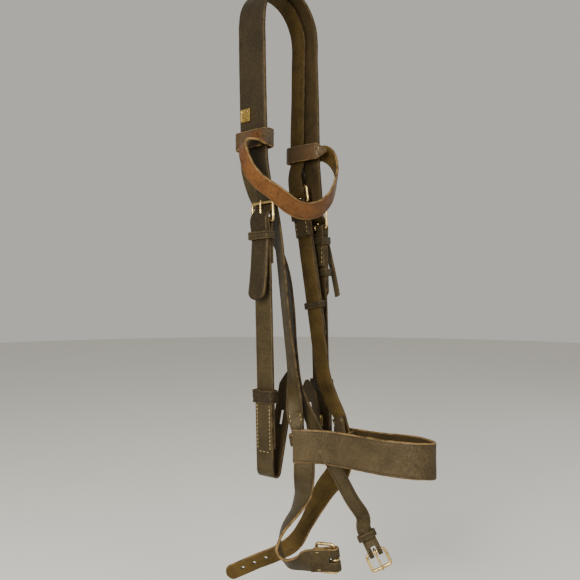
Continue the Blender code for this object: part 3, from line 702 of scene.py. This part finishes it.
def buckle(prefix, seat, strap_half, rise, bodies, turn=0.0):
    """A cast single-loop buckle: a frame that is thicker at its far end, and a tapered tongue."""
    side = strap_half + SIDE_PLAY + ROD_R
    outline = even_loop(rounded_loop(-side, side, -rise, 0.0, 2.5, 6), 1.2)
    centres = []
    radii = []
    for s, u in outline:
        a, b = turned(u, 0.0, turn)
        centres.append(seat.at(a, b, s))
        far = clamp(-u / rise)
        radii.append(ROD_R * (0.94 + 0.1 * far) + wobble(centres[-1], 0.04, 0.5))
    a, b = turned(0.0, 1.0, turn)
    normal = seat.d * a + seat.n * b
    frame_piece = rod(prefix + "_frame_brass", centres, radii, True, normal, 16, BRASS, 0.92)
    place(frame_piece, bodies[0], prefix + "_frame")
    reach = ROD_R + GAP + TONGUE_R
    side_view = [(-reach * s, reach * c) for s, c in sweep(-250, 0, BAR_STEPS)]
    for k in range(1, ARM_STEPS + 1):
        t = k / ARM_STEPS
        side_view.append(((-rise - 2.6) * t, reach + 0.35 * math.sin(math.pi * t)))
    path = [seat.at(*turned(u, n, turn)) for u, n in side_view]
    widths = []
    for k in range(len(path)):
        t = max(0.0, (k - BAR_STEPS) / ARM_STEPS)
        widths.append(TONGUE_R * (1.0 - 0.28 * t * t) * (0.35 if k == len(path) - 1 else 1.0))
    tongue = rod(prefix + "_tongue_brass", path, widths, False, seat.s, 14, BRASS)
    place(tongue, bodies[1], prefix + "_tongue")


def seat_stops(seat, line, half):
    """Stops of a strap that lies on a seat, through (u, n) points of its side view."""
    return [(seat.at(u, n), seat.s, half, half) for u, n in line]


def free_stops(route, half):
    """Stops of a strap that hangs free, through (point, across) pairs."""
    return [(point, Vector(across), half, half) for point, across in route]


def arch_stops(radius, y, plus, minus):
    """Stops over the crown from the near leg to the off leg."""
    return [((radius * s, y, ARCH_Z + radius * c), Y, plus, minus)
            for s, c in sweep(90, -90, ARCH_STEPS)]


def chape(seat, thick, half, length):
    """Stops of a strap's folded end: up the inside, round the bar and back down the outside."""
    wrap = ROD_R + GAP + thick / 2
    close = thick / 2 + GAP / 2
    side_view = [(length, -close), (length - 6.0, -close), (13.0, -close), (7.0, -close - 0.5)]
    side_view += [(-wrap * c, wrap * s) for s, c in sweep(-90, 90, FOLD_STEPS)]
    side_view += [(7.0, close + 0.5), (13.0, close), (length - 6.0, close)]
    return seat_stops(seat, side_view, half)


def billet_over(chape_thick, thick, rise):
    """Side view of a billet that enters behind a buckle's frame and comes out over its bar."""
    under = ROD_R + GAP + thick / 2 + 0.2
    over = ROD_R + GAP + chape_thick + GAP + thick / 2
    rest = chape_thick + GAP / 2 + GAP + thick / 2
    return [(-rise - 11.0, -under + 0.8), (-rise - 3.0, -under), (-rise + 2.5, -under + 0.2),
            (-rise * 0.62, -0.8), (-rise * 0.42, 2.7), (-rise * 0.2, over - 0.8), (0.0, over),
            (5.0, over - 0.3), (12.0, rest + 0.3), (19.0, rest)]


def tongue_slot(seat):
    return box_cutter(seat.at(-1.0, 0.0), seat, (14.0, 16.0, 5.0))


def tongue_hole(seat, rise):
    n = ROD_R + GAP + TONGUE_R + 0.1
    return rod_cutter(seat.at(1.0, n), seat.at(-rise - 4.0, n), TONGUE_R + 0.5, seat.s)


def spare_hole(seat, u, n, radius=1.6):
    return rod_cutter(seat.at(u, n - 4.0), seat.at(u, n + 4.0), radius, seat.s)


def billet_holes(route, places, radius, reach):
    """Cutters for the holes in the last stretch of a billet that hangs free."""
    start = Vector(route[-2][0])
    way = (Vector(route[-1][0]) - start).normalized()
    out = way.cross(Vector(route[-1][1])).normalized()
    middles = [start + way * along for along in places]
    return [rod_cutter(m - out * reach, m + out * reach, radius, way) for m in middles]


def cheek_seat(side):
    x, y, z = CHEEK_BAR
    return Seat((side * x, y, z), (0.0, -0.03, -1.0), (side, 0.0, 0.0))


def slip_seat():
    return Seat((30, -7, -216), (-0.01, -0.174, -0.985), (1, 0, 0))


def throat_seat():
    return Seat((12.2, -115.5, -565.5), (-0.094, 0.491, 0.865), (-0.766, -0.643, 0))


def chin_seat():
    return Seat((-9, -84, -574), (-0.50, 0.86, -0.12), (-0.80, -0.59, -0.05))


def nose_seat(side):
    """The seat on the inner wall of the loop sewn inside the noseband, on one side."""
    if side < 0:
        return Seat((-26.1, -52.2, -458), (0.091, -0.148, -0.985), (-0.852, -0.524, 0))
    return Seat((27.8, -70.8, -467), (-0.051, -0.420, -0.906), (0.993, -0.120, 0))


# ---- straps ----

def cheek_billet(side):
    """Stops from one cheek billet's tip up to the top of its leg of the headpiece."""
    front = CHEEK_WIDTH / 2
    back = CROWN_WIDTH - front
    seat = cheek_seat(side)
    rest = CHEEK_THICK + GAP / 2 + GAP + CROWN_THICK / 2
    spread = OFF_BILLET_SPREAD if side < 0 else 0.0
    line = billet_over(CHEEK_THICK, CROWN_THICK, CHEEK_BUCKLE_RISE)
    line += [(30.0, rest + 0.1 * spread), (54.0, rest + 0.45 * spread), (78.0, rest + spread)]
    stops = [(seat.at(u, n), Y, front, front) for u, n in line[::-1]]
    leg = [(LEG_X, -15.2, SPLIT_Z - 14.0, front), (LEG_X, -14.0, SPLIT_Z, front),
           (LEG_X, -14.0, SPLIT_Z + 0.8, back), (LEG_X + 0.4, -12.5, -110.0, back),
           (LEG_X, CROWN_Y, -60.0, back)]
    stops += [((side * x, y, z), Y, plus, front) for x, y, z, plus in leg]
    return stops


def build_headpiece():
    """The crown strap with a cheek billet at each end."""
    front = CHEEK_WIDTH / 2
    crown = arch_stops(LEG_X, CROWN_Y, CROWN_WIDTH - front, front)
    stops = cheek_billet(1.0) + crown + cheek_billet(-1.0)[::-1]
    obj = build_strap("headpiece_leather", stops, CROWN_THICK, DARK_STRAP, -1.0, ("round", "round"))
    near = cheek_seat(1.0)
    cutters = [tongue_hole(seat, CHEEK_BUCKLE_RISE) for seat in (near, cheek_seat(-1.0))]
    cutters += [spare_hole(near, u, CHEEK_THICK + CROWN_THICK / 2) for u in (30.0, 46.0, 62.0)]
    place(bored(obj, cutters), "headpiece", "headpiece")


def build_plate():
    """A small square brass plate with a raised rim and four pins."""
    low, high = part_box("crown_plate")
    middle = (low + high) / 2 / MM
    size = (high - low) / MM
    half = size.y / 2
    outer = middle.x - size.x / 2
    bm = bmesh.new()
    levels = [(half, size.x), (half, 0.35), (half - 0.3, 0.0), (half - 1.1, 0.0), (half - 1.5, 0.45),
              (half - 1.9, 0.5)]
    rings = []
    for reach, depth in levels:
        outline = rounded_loop(-reach, reach, -reach, reach, min(1.2, reach / 3), 4)
        rings.append([bm.verts.new(Vector((outer + depth, middle.y + a, middle.z + b)) * MM)
                      for a, b in outline])
    bridge(bm, rings)
    outward(bm)
    plate = new_object("crown_plate_brass", bm, (PLATE_BRASS,), 35.0)
    place(plate, "headpiece", "crown_plate")
    bm = bmesh.new()
    pin_reach = half - 2.9
    for a in (-1, 1):
        for b in (-1, 1):
            centre = Vector((outer + 0.45, middle.y + a * pin_reach, middle.z + b * pin_reach))
            made = bmesh.ops.create_uvsphere(bm, u_segments=12, v_segments=8, radius=0.75)
            for vert in made["verts"]:
                x, y, z = vert.co
                vert.co = (centre + Vector((x * 0.55, y, z))) * MM
    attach(new_object("crown_plate_pins", bm, (BRASS,)), "headpiece")


def loop_end(seat, half):
    """Stops of a strap's end that narrows, goes down through a sewn loop and back up inside it."""
    close = SLIP_THICK / 2 + GAP / 2
    base = NOSE_LOOP_LENGTH / 2 - 1.0
    side_view = [(-26.0, close + 0.2, half - 1.0), (-17.0, close + 0.8, half - 2.0),
                 (-9.0, LOOP_REACH, LOOP_HALF)]
    side_view += [(base + LOOP_REACH * c, LOOP_REACH * s, LOOP_HALF)
                  for s, c in sweep(90, -90, FOLD_STEPS)]
    side_view += [(-9.0, -LOOP_REACH, LOOP_HALF), (-17.0, -close - 0.8, half - 2.0),
                  (-24.0, -close - 0.6, half - 1.5)]
    return [(seat.at(u, n), seat.s, width, width) for u, n, width in side_view]


def build_sliphead():
    """The noseband's own strap: near billet, crown, then down the off side to the noseband."""
    half = SLIP_WIDTH / 2
    radius = SLIP_RADIUS
    seat = slip_seat()
    loop = nose_seat(-1.0)
    rest = SLIP_THICK + GAP / 2 + GAP + SLIP_THICK / 2
    line = billet_over(SLIP_THICK, SLIP_THICK, SLIP_BUCKLE_RISE)
    line += [(32.0, rest), (80.0, rest), (125.0, rest), (158.0, rest)]
    stops = [(seat.at(u, n), -seat.s, half, half) for u, n in line[::-1]]
    near_leg = [(32.8, 0.5, -179.0), (38.4, 2.0, -165.5), (radius - 0.4, 4.0, -145.0),
                (radius, 3.0, -100.0), (radius, 2.5, -60.0)]
    off_leg = [(-radius, 1.5, -60.0), (-radius, 1.0, -100.0), (-radius + 0.4, -1.0, -140.0),
               (-38.2, -4.0, -172.0)]
    stops += free_stops([(point, Y) for point in near_leg], half)
    stops += arch_stops(radius, 2.0, half, half)
    stops += free_stops([(point, Y) for point in off_leg], half)
    stops += free_stops([
        ((-32, -12, -200), (0.3, 0.95, 0)), ((-27.5, -24, -248), (0.45, 0.89, 0)),
        ((-31.5, -40, -340), (0.5, 0.87, 0)), ((-30, -47, -395), (0.35, 0.94, 0))], half)
    stops += loop_end(loop, half)
    obj = build_strap("sliphead_leather", stops, SLIP_THICK, SLIP_STRAP, -1.0, ("point", None))
    cutters = [tongue_hole(seat, SLIP_BUCKLE_RISE)]
    cutters += [spare_hole(seat, u, SLIP_THICK * 1.5, 1.4) for u in (34.0, 52.0, 88.0)]
    place(bored(obj, cutters), "headpiece", "sliphead")
    close = SLIP_THICK + GAP / 2 + 0.5
    stitches("sliphead_stitches", lanes(loop, -25.0, -16.0, close, half - 4.2), "headpiece")


def build_near_nose_cheek():
    """The short strap from the sliphead's buckle down to the loop inside the noseband's near end."""
    half = SLIP_WIDTH / 2
    seat = slip_seat()
    loop = nose_seat(1.0)
    close = SLIP_THICK / 2 + GAP / 2
    stops = chape(seat, SLIP_THICK, half, 38.0)
    stops += seat_stops(seat, [(u, close) for u in (70.0, 110.0, 145.0, 168.0)], half)
    stops += free_stops([((28.6, -41, -404), seat.s), ((28.8, -50, -425), seat.s)], half)
    stops += loop_end(loop, half)
    obj = build_strap("near_nose_cheek_leather", stops, SLIP_THICK, SLIP_STRAP, -1.0)
    place(bored(obj, [tongue_slot(seat)]), "headpiece", "near_nose_cheek")
    buckle("slip_buckle", seat, half, SLIP_BUCKLE_RISE, ("headpiece", "headpiece"))
    room = half + KEEPER_PLAY
    for name, u, low, high, body in (
            ("slip_keeper", 15.0, -SLIP_THICK - 0.5, 2 * SLIP_THICK + 1.6, "headpiece"),
            ("slip_runner", 114.0, -0.4, 2 * SLIP_THICK + 1.0, "slip_runner")):
        keeper(name, seat, u, low, high, room, 7.0, body, SLIP_STRAP)
    inner = SLIP_THICK + GAP / 2 + 0.1
    rows = lanes(seat, 21.0, 36.0, -inner, half - 2.6, -1.0)
    rows += lanes(loop, -24.0, -16.0, -inner - 0.7, half - 4.2, -1.0)
    stitches("near_nose_cheek_stitches", rows, "headpiece")


def build_cheek(prefix, side):
    """One cheekpiece with its buckle, keepers, bit end and hook stud."""
    half = CHEEK_WIDTH / 2
    room = half + KEEPER_PLAY
    seat = cheek_seat(side)
    close = CHEEK_THICK / 2 + GAP / 2
    stops = chape(seat, CHEEK_THICK, half, 42.0)
    stops += seat_stops(seat, [(u, close) for u in (80.0, 130.0, LAP_TOP_U, CHEEK_END_U)], half)
    obj = build_strap(prefix + "_cheek_leather", stops, CHEEK_THICK, CHEEK_STRAP, -1.0)
    place(bored(obj, [tongue_slot(seat)]), "headpiece", prefix + "_cheekpiece")
    buckle(prefix + "_cheek_buckle", seat, half, CHEEK_BUCKLE_RISE, ("headpiece", "headpiece"))
    outer = CHEEK_THICK + CROWN_THICK + 1.6
    keeper(prefix + "_cheek_keeper", seat, 14.0, -CHEEK_THICK - 0.5, outer, room, 8.0, "headpiece",
           CHEEK_STRAP)
    if prefix == "near":
        keeper("near_runner", seat, 49.0, -0.4, outer - 0.4, room, 8.0, "near_runner",
               CHEEK_STRAP)
    inner = CHEEK_THICK + GAP / 2 + 0.1
    rows = lanes(seat, 20.0, 40.0, -inner, half - 2.8, -1.0)
    stitches(prefix + "_chape_stitches", rows, "headpiece")
    build_bit_end(prefix, seat, half)


def fold(seat, centre_n, start, end):
    """Points round the fold at the foot of a bit end, from start to end degrees from its outer side."""
    return [seat.at(FOLD_U - FOLD_R + FOLD_R * s, centre_n + FOLD_R * c)
            for s, c in sweep(start, end, FOLD_STEPS)]


def build_bit_end(prefix, seat, half):
    """The stitched lap under its long keeper, the loop for the bit ring and its hook stud."""
    lap = CHEEK_THICK + GAP / 2 + GAP + CHEEK_THICK / 2
    line = [(LAP_TOP_U, lap), (CHEEK_END_U - 6.0, lap), (FOLD_U - FOLD_R, lap)]
    stops = seat_stops(seat, line, half)
    stops += [(point, seat.s, half, half) for point in fold(seat, lap - FOLD_R, 0, 90)[1:]]
    obj = build_strap(prefix + "_bit_strap_leather", stops, CHEEK_THICK, CHEEK_STRAP, -1.0)
    place(obj, "headpiece", prefix + "_bit_strap")
    build_return(prefix, seat, half, lap - FOLD_R)
    keeper(prefix + "_bit_keeper", seat, LAP_TOP_U, -1.0, lap + CHEEK_THICK / 2 + 0.5,
           half + KEEPER_PLAY, BIT_KEEPER_LENGTH, "headpiece", DARK_STRAP, 0.7)
    build_hook_stud(prefix, seat)
    face = lap + CHEEK_THICK / 2 + 0.1
    low = CHEEK_END_U + 1.0
    side = half - 2.9
    rows = lanes(seat, LAP_TOP_U + BIT_KEEPER_LENGTH / 2 + 1.0, low, face, side)
    rows.append([(seat.at(low + 2.0, face, s), seat.n) for s in (-side + 1.0, 0.0, side - 1.0)])
    stitches(prefix + "_lap_stitches", rows, "headpiece", 3.6, 2.7, 0.4)


def build_return(prefix, seat, half, centre_n):
    """The free, pointed end of the loop for the bit ring, with its slot for the hook stud."""
    tilt = math.radians(RETURN_TILTS[prefix])
    stops = []
    for k, point in enumerate(fold(seat, centre_n, 90, 180 - RETURN_TILTS[prefix])):
        width = half - k / FOLD_STEPS
        stops.append((point, seat.s, width, width))
    foot = stops[-1][0]
    up = seat.d * -math.cos(tilt) + seat.n * -math.sin(tilt)
    for along in (20.0, 50.0, RETURN_LENGTHS[prefix]):
        stops.append((foot + up * along, seat.s, half - 1.0, half - 1.0))
    obj = build_strap(prefix + "_bit_return_leather", stops, CHEEK_THICK, CHEEK_STRAP, -1.0,
                      (None, "point"))
    bored(obj, [box_cutter(foot + up * RETURN_SLOT, seat, (14.0, 12.0, 4.4))])
    hang(obj, prefix + "_bit_return",
         tuple(seat.at(FOLD_U, centre_n) * MM))


def build_hook_stud(prefix, seat):
    """The brass hook that holds the return closed, bent from flat strip."""
    plate = -GAP - 0.8
    side_view = [(218.0, plate), (208.0, plate), (205.5, plate - 1.2), (205.5, plate - 3.4),
                 (208.0, plate - 4.6), (214.0, plate - 4.6)]
    stops = seat_stops(seat, side_view, 3.2)
    stud = build_strap(prefix + "_hook_stud_brass", stops, 1.4, (BRASS, BRASS, BRASS), 1.0, uneven=0.03)
    place(stud, "headpiece", prefix + "_hook_stud")


def build_browband():
    """The band across the brow; its off end curls forward over its own loop and hangs in a bow."""
    half = BROW_WIDTH / 2
    inner = 33.6
    outer = 48.2
    rear = 17.2
    off_rear = 16.6
    front = -27.4
    loop_z = -160.0
    off_plan = [(outer, -21.5), (outer, -8.0), (outer, off_rear - 7.5), (outer - 1.0, off_rear - 3.2),
                (outer - 4.8, off_rear), (inner + 4.8, off_rear), (inner + 1.4, off_rear - 3.4),
                (inner, 5.0), (inner, -18.0), (inner + 1.4, front + 3.4), (inner + 4.8, front),
                (outer - 4.7, front)]
    near_plan = [(outer, -18.0), (outer, 8.0), (outer - 1.4, rear - 3.4), (outer - 4.8, rear),
                 (inner + 4.8, rear), (inner + 1.4, rear - 3.4), (inner, 8.0), (inner, -16.0),
                 (inner + 0.6, -25.0), (inner + 3.0, -31.0), (inner + 7.0, -36.0)]
    bow = [
        ((-50.3, -27.2, -160.5), (-0.2, -0.25, -0.93)), ((-56.3, -24.5, -160), (-0.5, -0.42, -0.72)),
        ((-60, -17.5, -161.2), (-0.65, -0.58, -0.45)), ((-62, -12, -166.5), (-0.55, -0.8, -0.12)),
        ((-62, -10.5, -176), (-0.35, -0.92, 0.15)), ((-62, -18.5, -194), (-0.2, -0.78, 0.6)),
        ((-59, -31, -208), (-0.25, -0.7, 0.67)), ((-51, -43, -218.5), (-0.3, -0.55, 0.78)),
        ((-35, -49, -229.5), (-0.32, -0.4, 0.86)), ((-18, -54, -233.5), (-0.32, -0.27, 0.9)),
        ((3, -57, -228), (-0.35, -0.3, 0.88)), ((20, -57, -215), (-0.5, -0.4, 0.76)),
        ((33, -53, -200.5), (-0.65, -0.5, 0.58)), ((43, -48, -185.5), (-0.62, -0.57, 0.54)),
        ((49, -39, -170.5), (-0.3, -0.4, 0.86)), ((50.5, -28, -161), (0, 0, 1))]
    stops = [((-x, y, loop_z), -Z, half, half) for x, y in off_plan]
    stops += [(point, Vector(across).normalized(), half, half) for point, across in bow]
    stops += [((x, y, loop_z), Z, half, half) for x, y in near_plan]
    obj = build_strap("browband_leather", stops, BROW_THICK, BROW_STRAP, 1.0, (None, "point"), 0.18)
    # Painted shade together with hand grease darkens the two loops; it fades down the bow and off the
    # bulge of the off curl.
    grease_and_shade = obj.data.attributes.new("grease_and_shade", "FLOAT", "POINT")
    for vert, value in zip(obj.data.vertices, grease_and_shade.data):
        level = clamp((vert.co.z / MM + 181.0) / 16.0)
        bulge = clamp((-50.5 - vert.co.x / MM) / 7.0)
        value.value = level * (1.0 - bulge)
    place(obj, "browband", "browband")


def build_noseband():
    """The broad band round the nose, open at the chin, with a loop sewn inside each end."""
    half = NOSE_HEIGHT / 2
    plan = [(-37, -53, -463.5), (-29, -66, -463.5), (-22, -79.5, -463.5),
            (-18.5, -100, -463.5), (-17, -128, -463.5), (-14, -150, -463.5),
            (-8, -169, -463.5), (0.5, -180.5, -463.5), (8, -180, -464), (15.5, -171.5, -464.7),
            (22, -157, -465.5), (27, -138, -467.5), (32, -112, -470.5),
            (36, -85, -472.5), (38.3, -66, -473.5), (36.8, -50, -474)]
    stops = [(point, Z, half, half) for point in plan]
    obj = build_strap("noseband_leather", stops, NOSE_THICK, NOSE_STRAP, 1.0, uneven=0.3)
    place(obj, "noseband", "noseband")
    room = 2 * LOOP_PLAY + SLIP_THICK
    for label, side in (("off", -1.0), ("near", 1.0)):
        keeper(label + "_nose_loop", nose_seat(side), 0.0, KEEPER_WALL / 2, KEEPER_WALL / 2 + room,
               LOOP_HALF + LOOP_PLAY, NOSE_LOOP_LENGTH, "noseband", NOSE_STRAP)


def build_chin_straps():
    """The off chin strap, curled forward, with its free buckle; then the near chin billet."""
    half = CHIN_WIDTH / 2
    seat = chin_seat()
    close = CHIN_THICK / 2 + GAP / 2
    stops = chape(seat, CHIN_THICK, half, 21.0)[:-1] + seat_stops(seat, [(27.0, close)], half)
    stops += free_stops([
        ((-26, -55.5, -580.5), (-0.30, -0.35, 0.88)), ((-31.5, -41, -583), (-0.62, -0.45, 0.64)),
        ((-31.5, -30, -573), (-0.80, -0.45, 0.10)), ((-25, -29, -556), (-0.766, -0.643, 0)),
        ((-22.5, -40, -538), (-0.70, -0.70, -0.1)), ((-25, -51, -521), (-0.40, -0.90, -0.2)),
        ((-28.5, -59, -507), (0.1, -1, -0.1)), ((-31.3, -62.5, -490), (0.52, -0.85, 0)),
        ((-31.3, -62.5, -480.2), (0.52, -0.85, 0))], half - 1)
    obj = build_strap("chin_strap_leather", stops, CHIN_THICK, CHIN_STRAP, -1.0)
    hang(bored(obj, [tongue_slot(seat)]), "chin_strap",
         (-0.0313, -0.0625, -0.4802))
    bodies = ("chin_buckle_frame", "chin_buckle_tongue")
    buckle("chin_buckle", seat, half, CHIN_BUCKLE_RISE, bodies, CHIN_FRAME_TURN)
    build_chin_billet()
    rows = lanes(seat, 13.0, 21.0, CHIN_THICK + GAP / 2 + 0.1, half - 2.8)
    stitches("chin_stitches", rows, "chin_strap")


def build_chin_billet():
    """The near chin billet, which narrows downward and has three holes."""
    route = [
        ((37.6, -59, -490.4), (0.12, 0.99, 0), 13), ((37.5, -58.8, -498), (0.12, 0.99, 0), 13),
        ((35, -51.5, -511), (-0.3, 0.9, 0.2), 12.5), ((31.5, -42, -524), (-0.3, 0.9, 0.3), 11.5),
        ((26.5, -32, -544), (0.1, 0.9, 0.4), 10.5), ((21.5, -23, -564), (0.3, 0.9, 0.4), 9.5),
        ((14, -14, -583), (0.1, 0.7, 0.7), 9), ((0, -2, -594), (-0.3, 0.3, 0.9), 8.5),
        ((-14, 20, -606), (-0.3, 0.2, 0.9), 8.5), ((-30, 46, -621), (-0.3, 0.2, 0.9), 8.5)]
    stops = [(point, Vector(across), width, width) for point, across, width in route]
    obj = build_strap("chin_billet_leather", stops, CHIN_THICK, CHIN_STRAP, 1.0, (None, "round"), 0.25)
    hang(bored(obj, billet_holes(route, (-14.0, 0.0, 14.0), 1.8, 7)),
         "chin_billet", (0.0376, -0.059, -0.4904))


THROAT_TOP_Y = -14.0 + CHEEK_WIDTH / 2 + 0.5 + THROAT_WIDTH / 2
THROAT_TOP_Z = SPLIT_Z + 0.4


def build_throatlash():
    """The long off strap, which hangs twisted, with its free buckle; then the near billet."""
    half = THROAT_WIDTH / 2
    seat = throat_seat()
    close = THROAT_THICK / 2 + GAP / 2
    stops = chape(seat, THROAT_THICK, half, 26.0)[:-1] + seat_stops(seat, [(24.0, close)], half)
    low = (0.58, -0.69, 0.44)
    stops += free_stops([
        ((9.5, -103, -533), low), ((3.8, -94, -517), low), ((0, -85, -500), low),
        ((-12, -65, -456), (0.4, -0.85, 0.35)), ((-20, -48, -412), (-0.4, -0.9, 0.2)),
        ((-19, -40, -372), (-0.5, -0.87, 0)), ((-15.5, -33, -325), (-0.5, -0.87, 0)),
        ((-12, -21, -285), (-0.5, -0.87, 0)), ((-22, -6, -245), (-0.3, -0.95, 0)),
        ((-34, 3, -214), (-0.1, -1, 0)), ((-41, 5.5, -190), -Y),
        ((-LEG_X, THROAT_TOP_Y, THROAT_TOP_Z), -Y)], half)
    obj = build_strap("throatlash_leather", stops, THROAT_THICK, SLIP_STRAP, -1.0)
    hang(bored(obj, [tongue_slot(seat)]), "throatlash",
         (-0.043, 0.0045, -0.1716))
    bodies = ("throat_buckle_frame", "throat_buckle_tongue")
    buckle("throat_buckle", seat, half, THROAT_BUCKLE_RISE, bodies)
    keeper("throat_keeper", seat, 17.0, -THROAT_THICK - 0.5, THROAT_THICK + 3.2, half + KEEPER_PLAY, 6.0,
           "throatlash", SLIP_STRAP)
    build_near_throat_billet()
    inner = THROAT_THICK + GAP / 2 + 0.1
    rows = lanes(seat, 12.0, 25.0, -inner, half - 2.2, -1.0)
    stitches("throat_stitches", rows, "throatlash", 3.6, 2.7, 0.36)


def build_near_throat_billet():
    """The short near billet of the throatlash, with three holes."""
    route = [((LEG_X, THROAT_TOP_Y, THROAT_TOP_Z), (0, 1, 0)), ((45.5, 5, -188), (0, 1, 0)),
             ((54, -2, -214), (0.2, 0.95, 0)), ((60, -16, -246), (0.5, 0.85, -0.2)),
             ((62.5, -27, -284), (0.6, 0.75, -0.2)), ((63, -35, -319), (0.6, 0.75, -0.2))]
    stops = free_stops(route, THROAT_WIDTH / 2)
    obj = build_strap("near_throat_billet_leather", stops, THROAT_THICK, SLIP_STRAP, 1.0)
    hang(bored(obj, billet_holes(route, (0.0, 12.0, 24.0), 1.5, 6)),
         "near_throat_billet", (0.043, 0.0045, -0.1716))


# ---- stage ----

def build_stage():
    """A plain pale floor below the hanging bridle."""
    low = CAD_BOUNDS[0]
    bm = bmesh.new()
    bmesh.ops.create_circle(bm, cap_ends=True, segments=96, radius=4.0)
    for vert in bm.verts:
        vert.co.z = low[2] - 0.05
    n = Nodes("floor_pale")
    tone = n.noise(n.coords(), 3.0, 3.0)
    colour = n.mix(tone, (0.74, 0.73, 0.69), (0.78, 0.765, 0.725))
    floor = new_object("floor", bm, (n.done(colour, n.ramp(tone, 0.0, 1.0, 0.8, 0.9)),))


def add_light(name, spot, size, power, colour):
    """A soft rectangular light aimed at the middle of the bridle."""
    data = bpy.data.lights.new(name, "AREA")
    data.shape = "RECTANGLE"
    data.size = size[0]
    data.size_y = size[1]
    data.energy = power
    data.color = colour
    obj = bpy.data.objects.new(name, data)
    obj.location = spot
    obj.rotation_euler = (LIGHT_AIM - Vector(spot)).to_track_quat("-Z", "Y").to_euler()
    bpy.context.scene.collection.objects.link(obj)


def light_scene():
    """Soft studio light: a broad key from picture left, a weak fill and a pale surround."""
    add_light("key", (-1.3, -0.3, 0.1), (0.7, 0.9), 36.0, (1.0, 0.96, 0.88))
    add_light("front", (-0.15, -1.35, 0.2), (0.6, 0.9), 9.0, (1.0, 0.98, 0.95))
    add_light("fill", (1.3, -0.9, 0.2), (1.2, 1.2), 4.0, (0.9, 0.95, 1.0))
    world = bpy.data.worlds.new("surround")
    world.use_nodes = True
    background = world.node_tree.nodes["Background"]
    background.inputs["Color"].default_value = (0.62, 0.605, 0.56, 1.0)
    background.inputs["Strength"].default_value = 0.82
    bpy.context.scene.world = world


def add_camera():
    """A level camera off the near front corner, at the height of the middle of the cheekpieces."""
    turn = math.radians(CAMERA_AZIMUTH)
    into = Vector((-math.sin(turn), math.cos(turn), 0.0))
    right = Vector((math.cos(turn), math.sin(turn), 0.0))
    data = bpy.data.cameras.new("camera")
    data.lens = CAMERA_LENS
    data.clip_start = 0.01
    camera = bpy.data.objects.new("camera", data)
    camera.location = right * CAMERA_SIDE - into * CAMERA_DISTANCE + Z * CAMERA_HEIGHT
    camera.rotation_euler = Euler((math.pi / 2, 0.0, turn))
    bpy.context.scene.collection.objects.link(camera)
    bpy.context.scene.camera = camera


add_camera()
build_headpiece()
build_plate()
build_sliphead()
build_near_nose_cheek()
for prefix, side in (("off", -1.0), ("near", 1.0)):
    build_cheek(prefix, side)
build_browband()
build_noseband()
build_chin_straps()
build_throatlash()
build_stage()
light_scene()
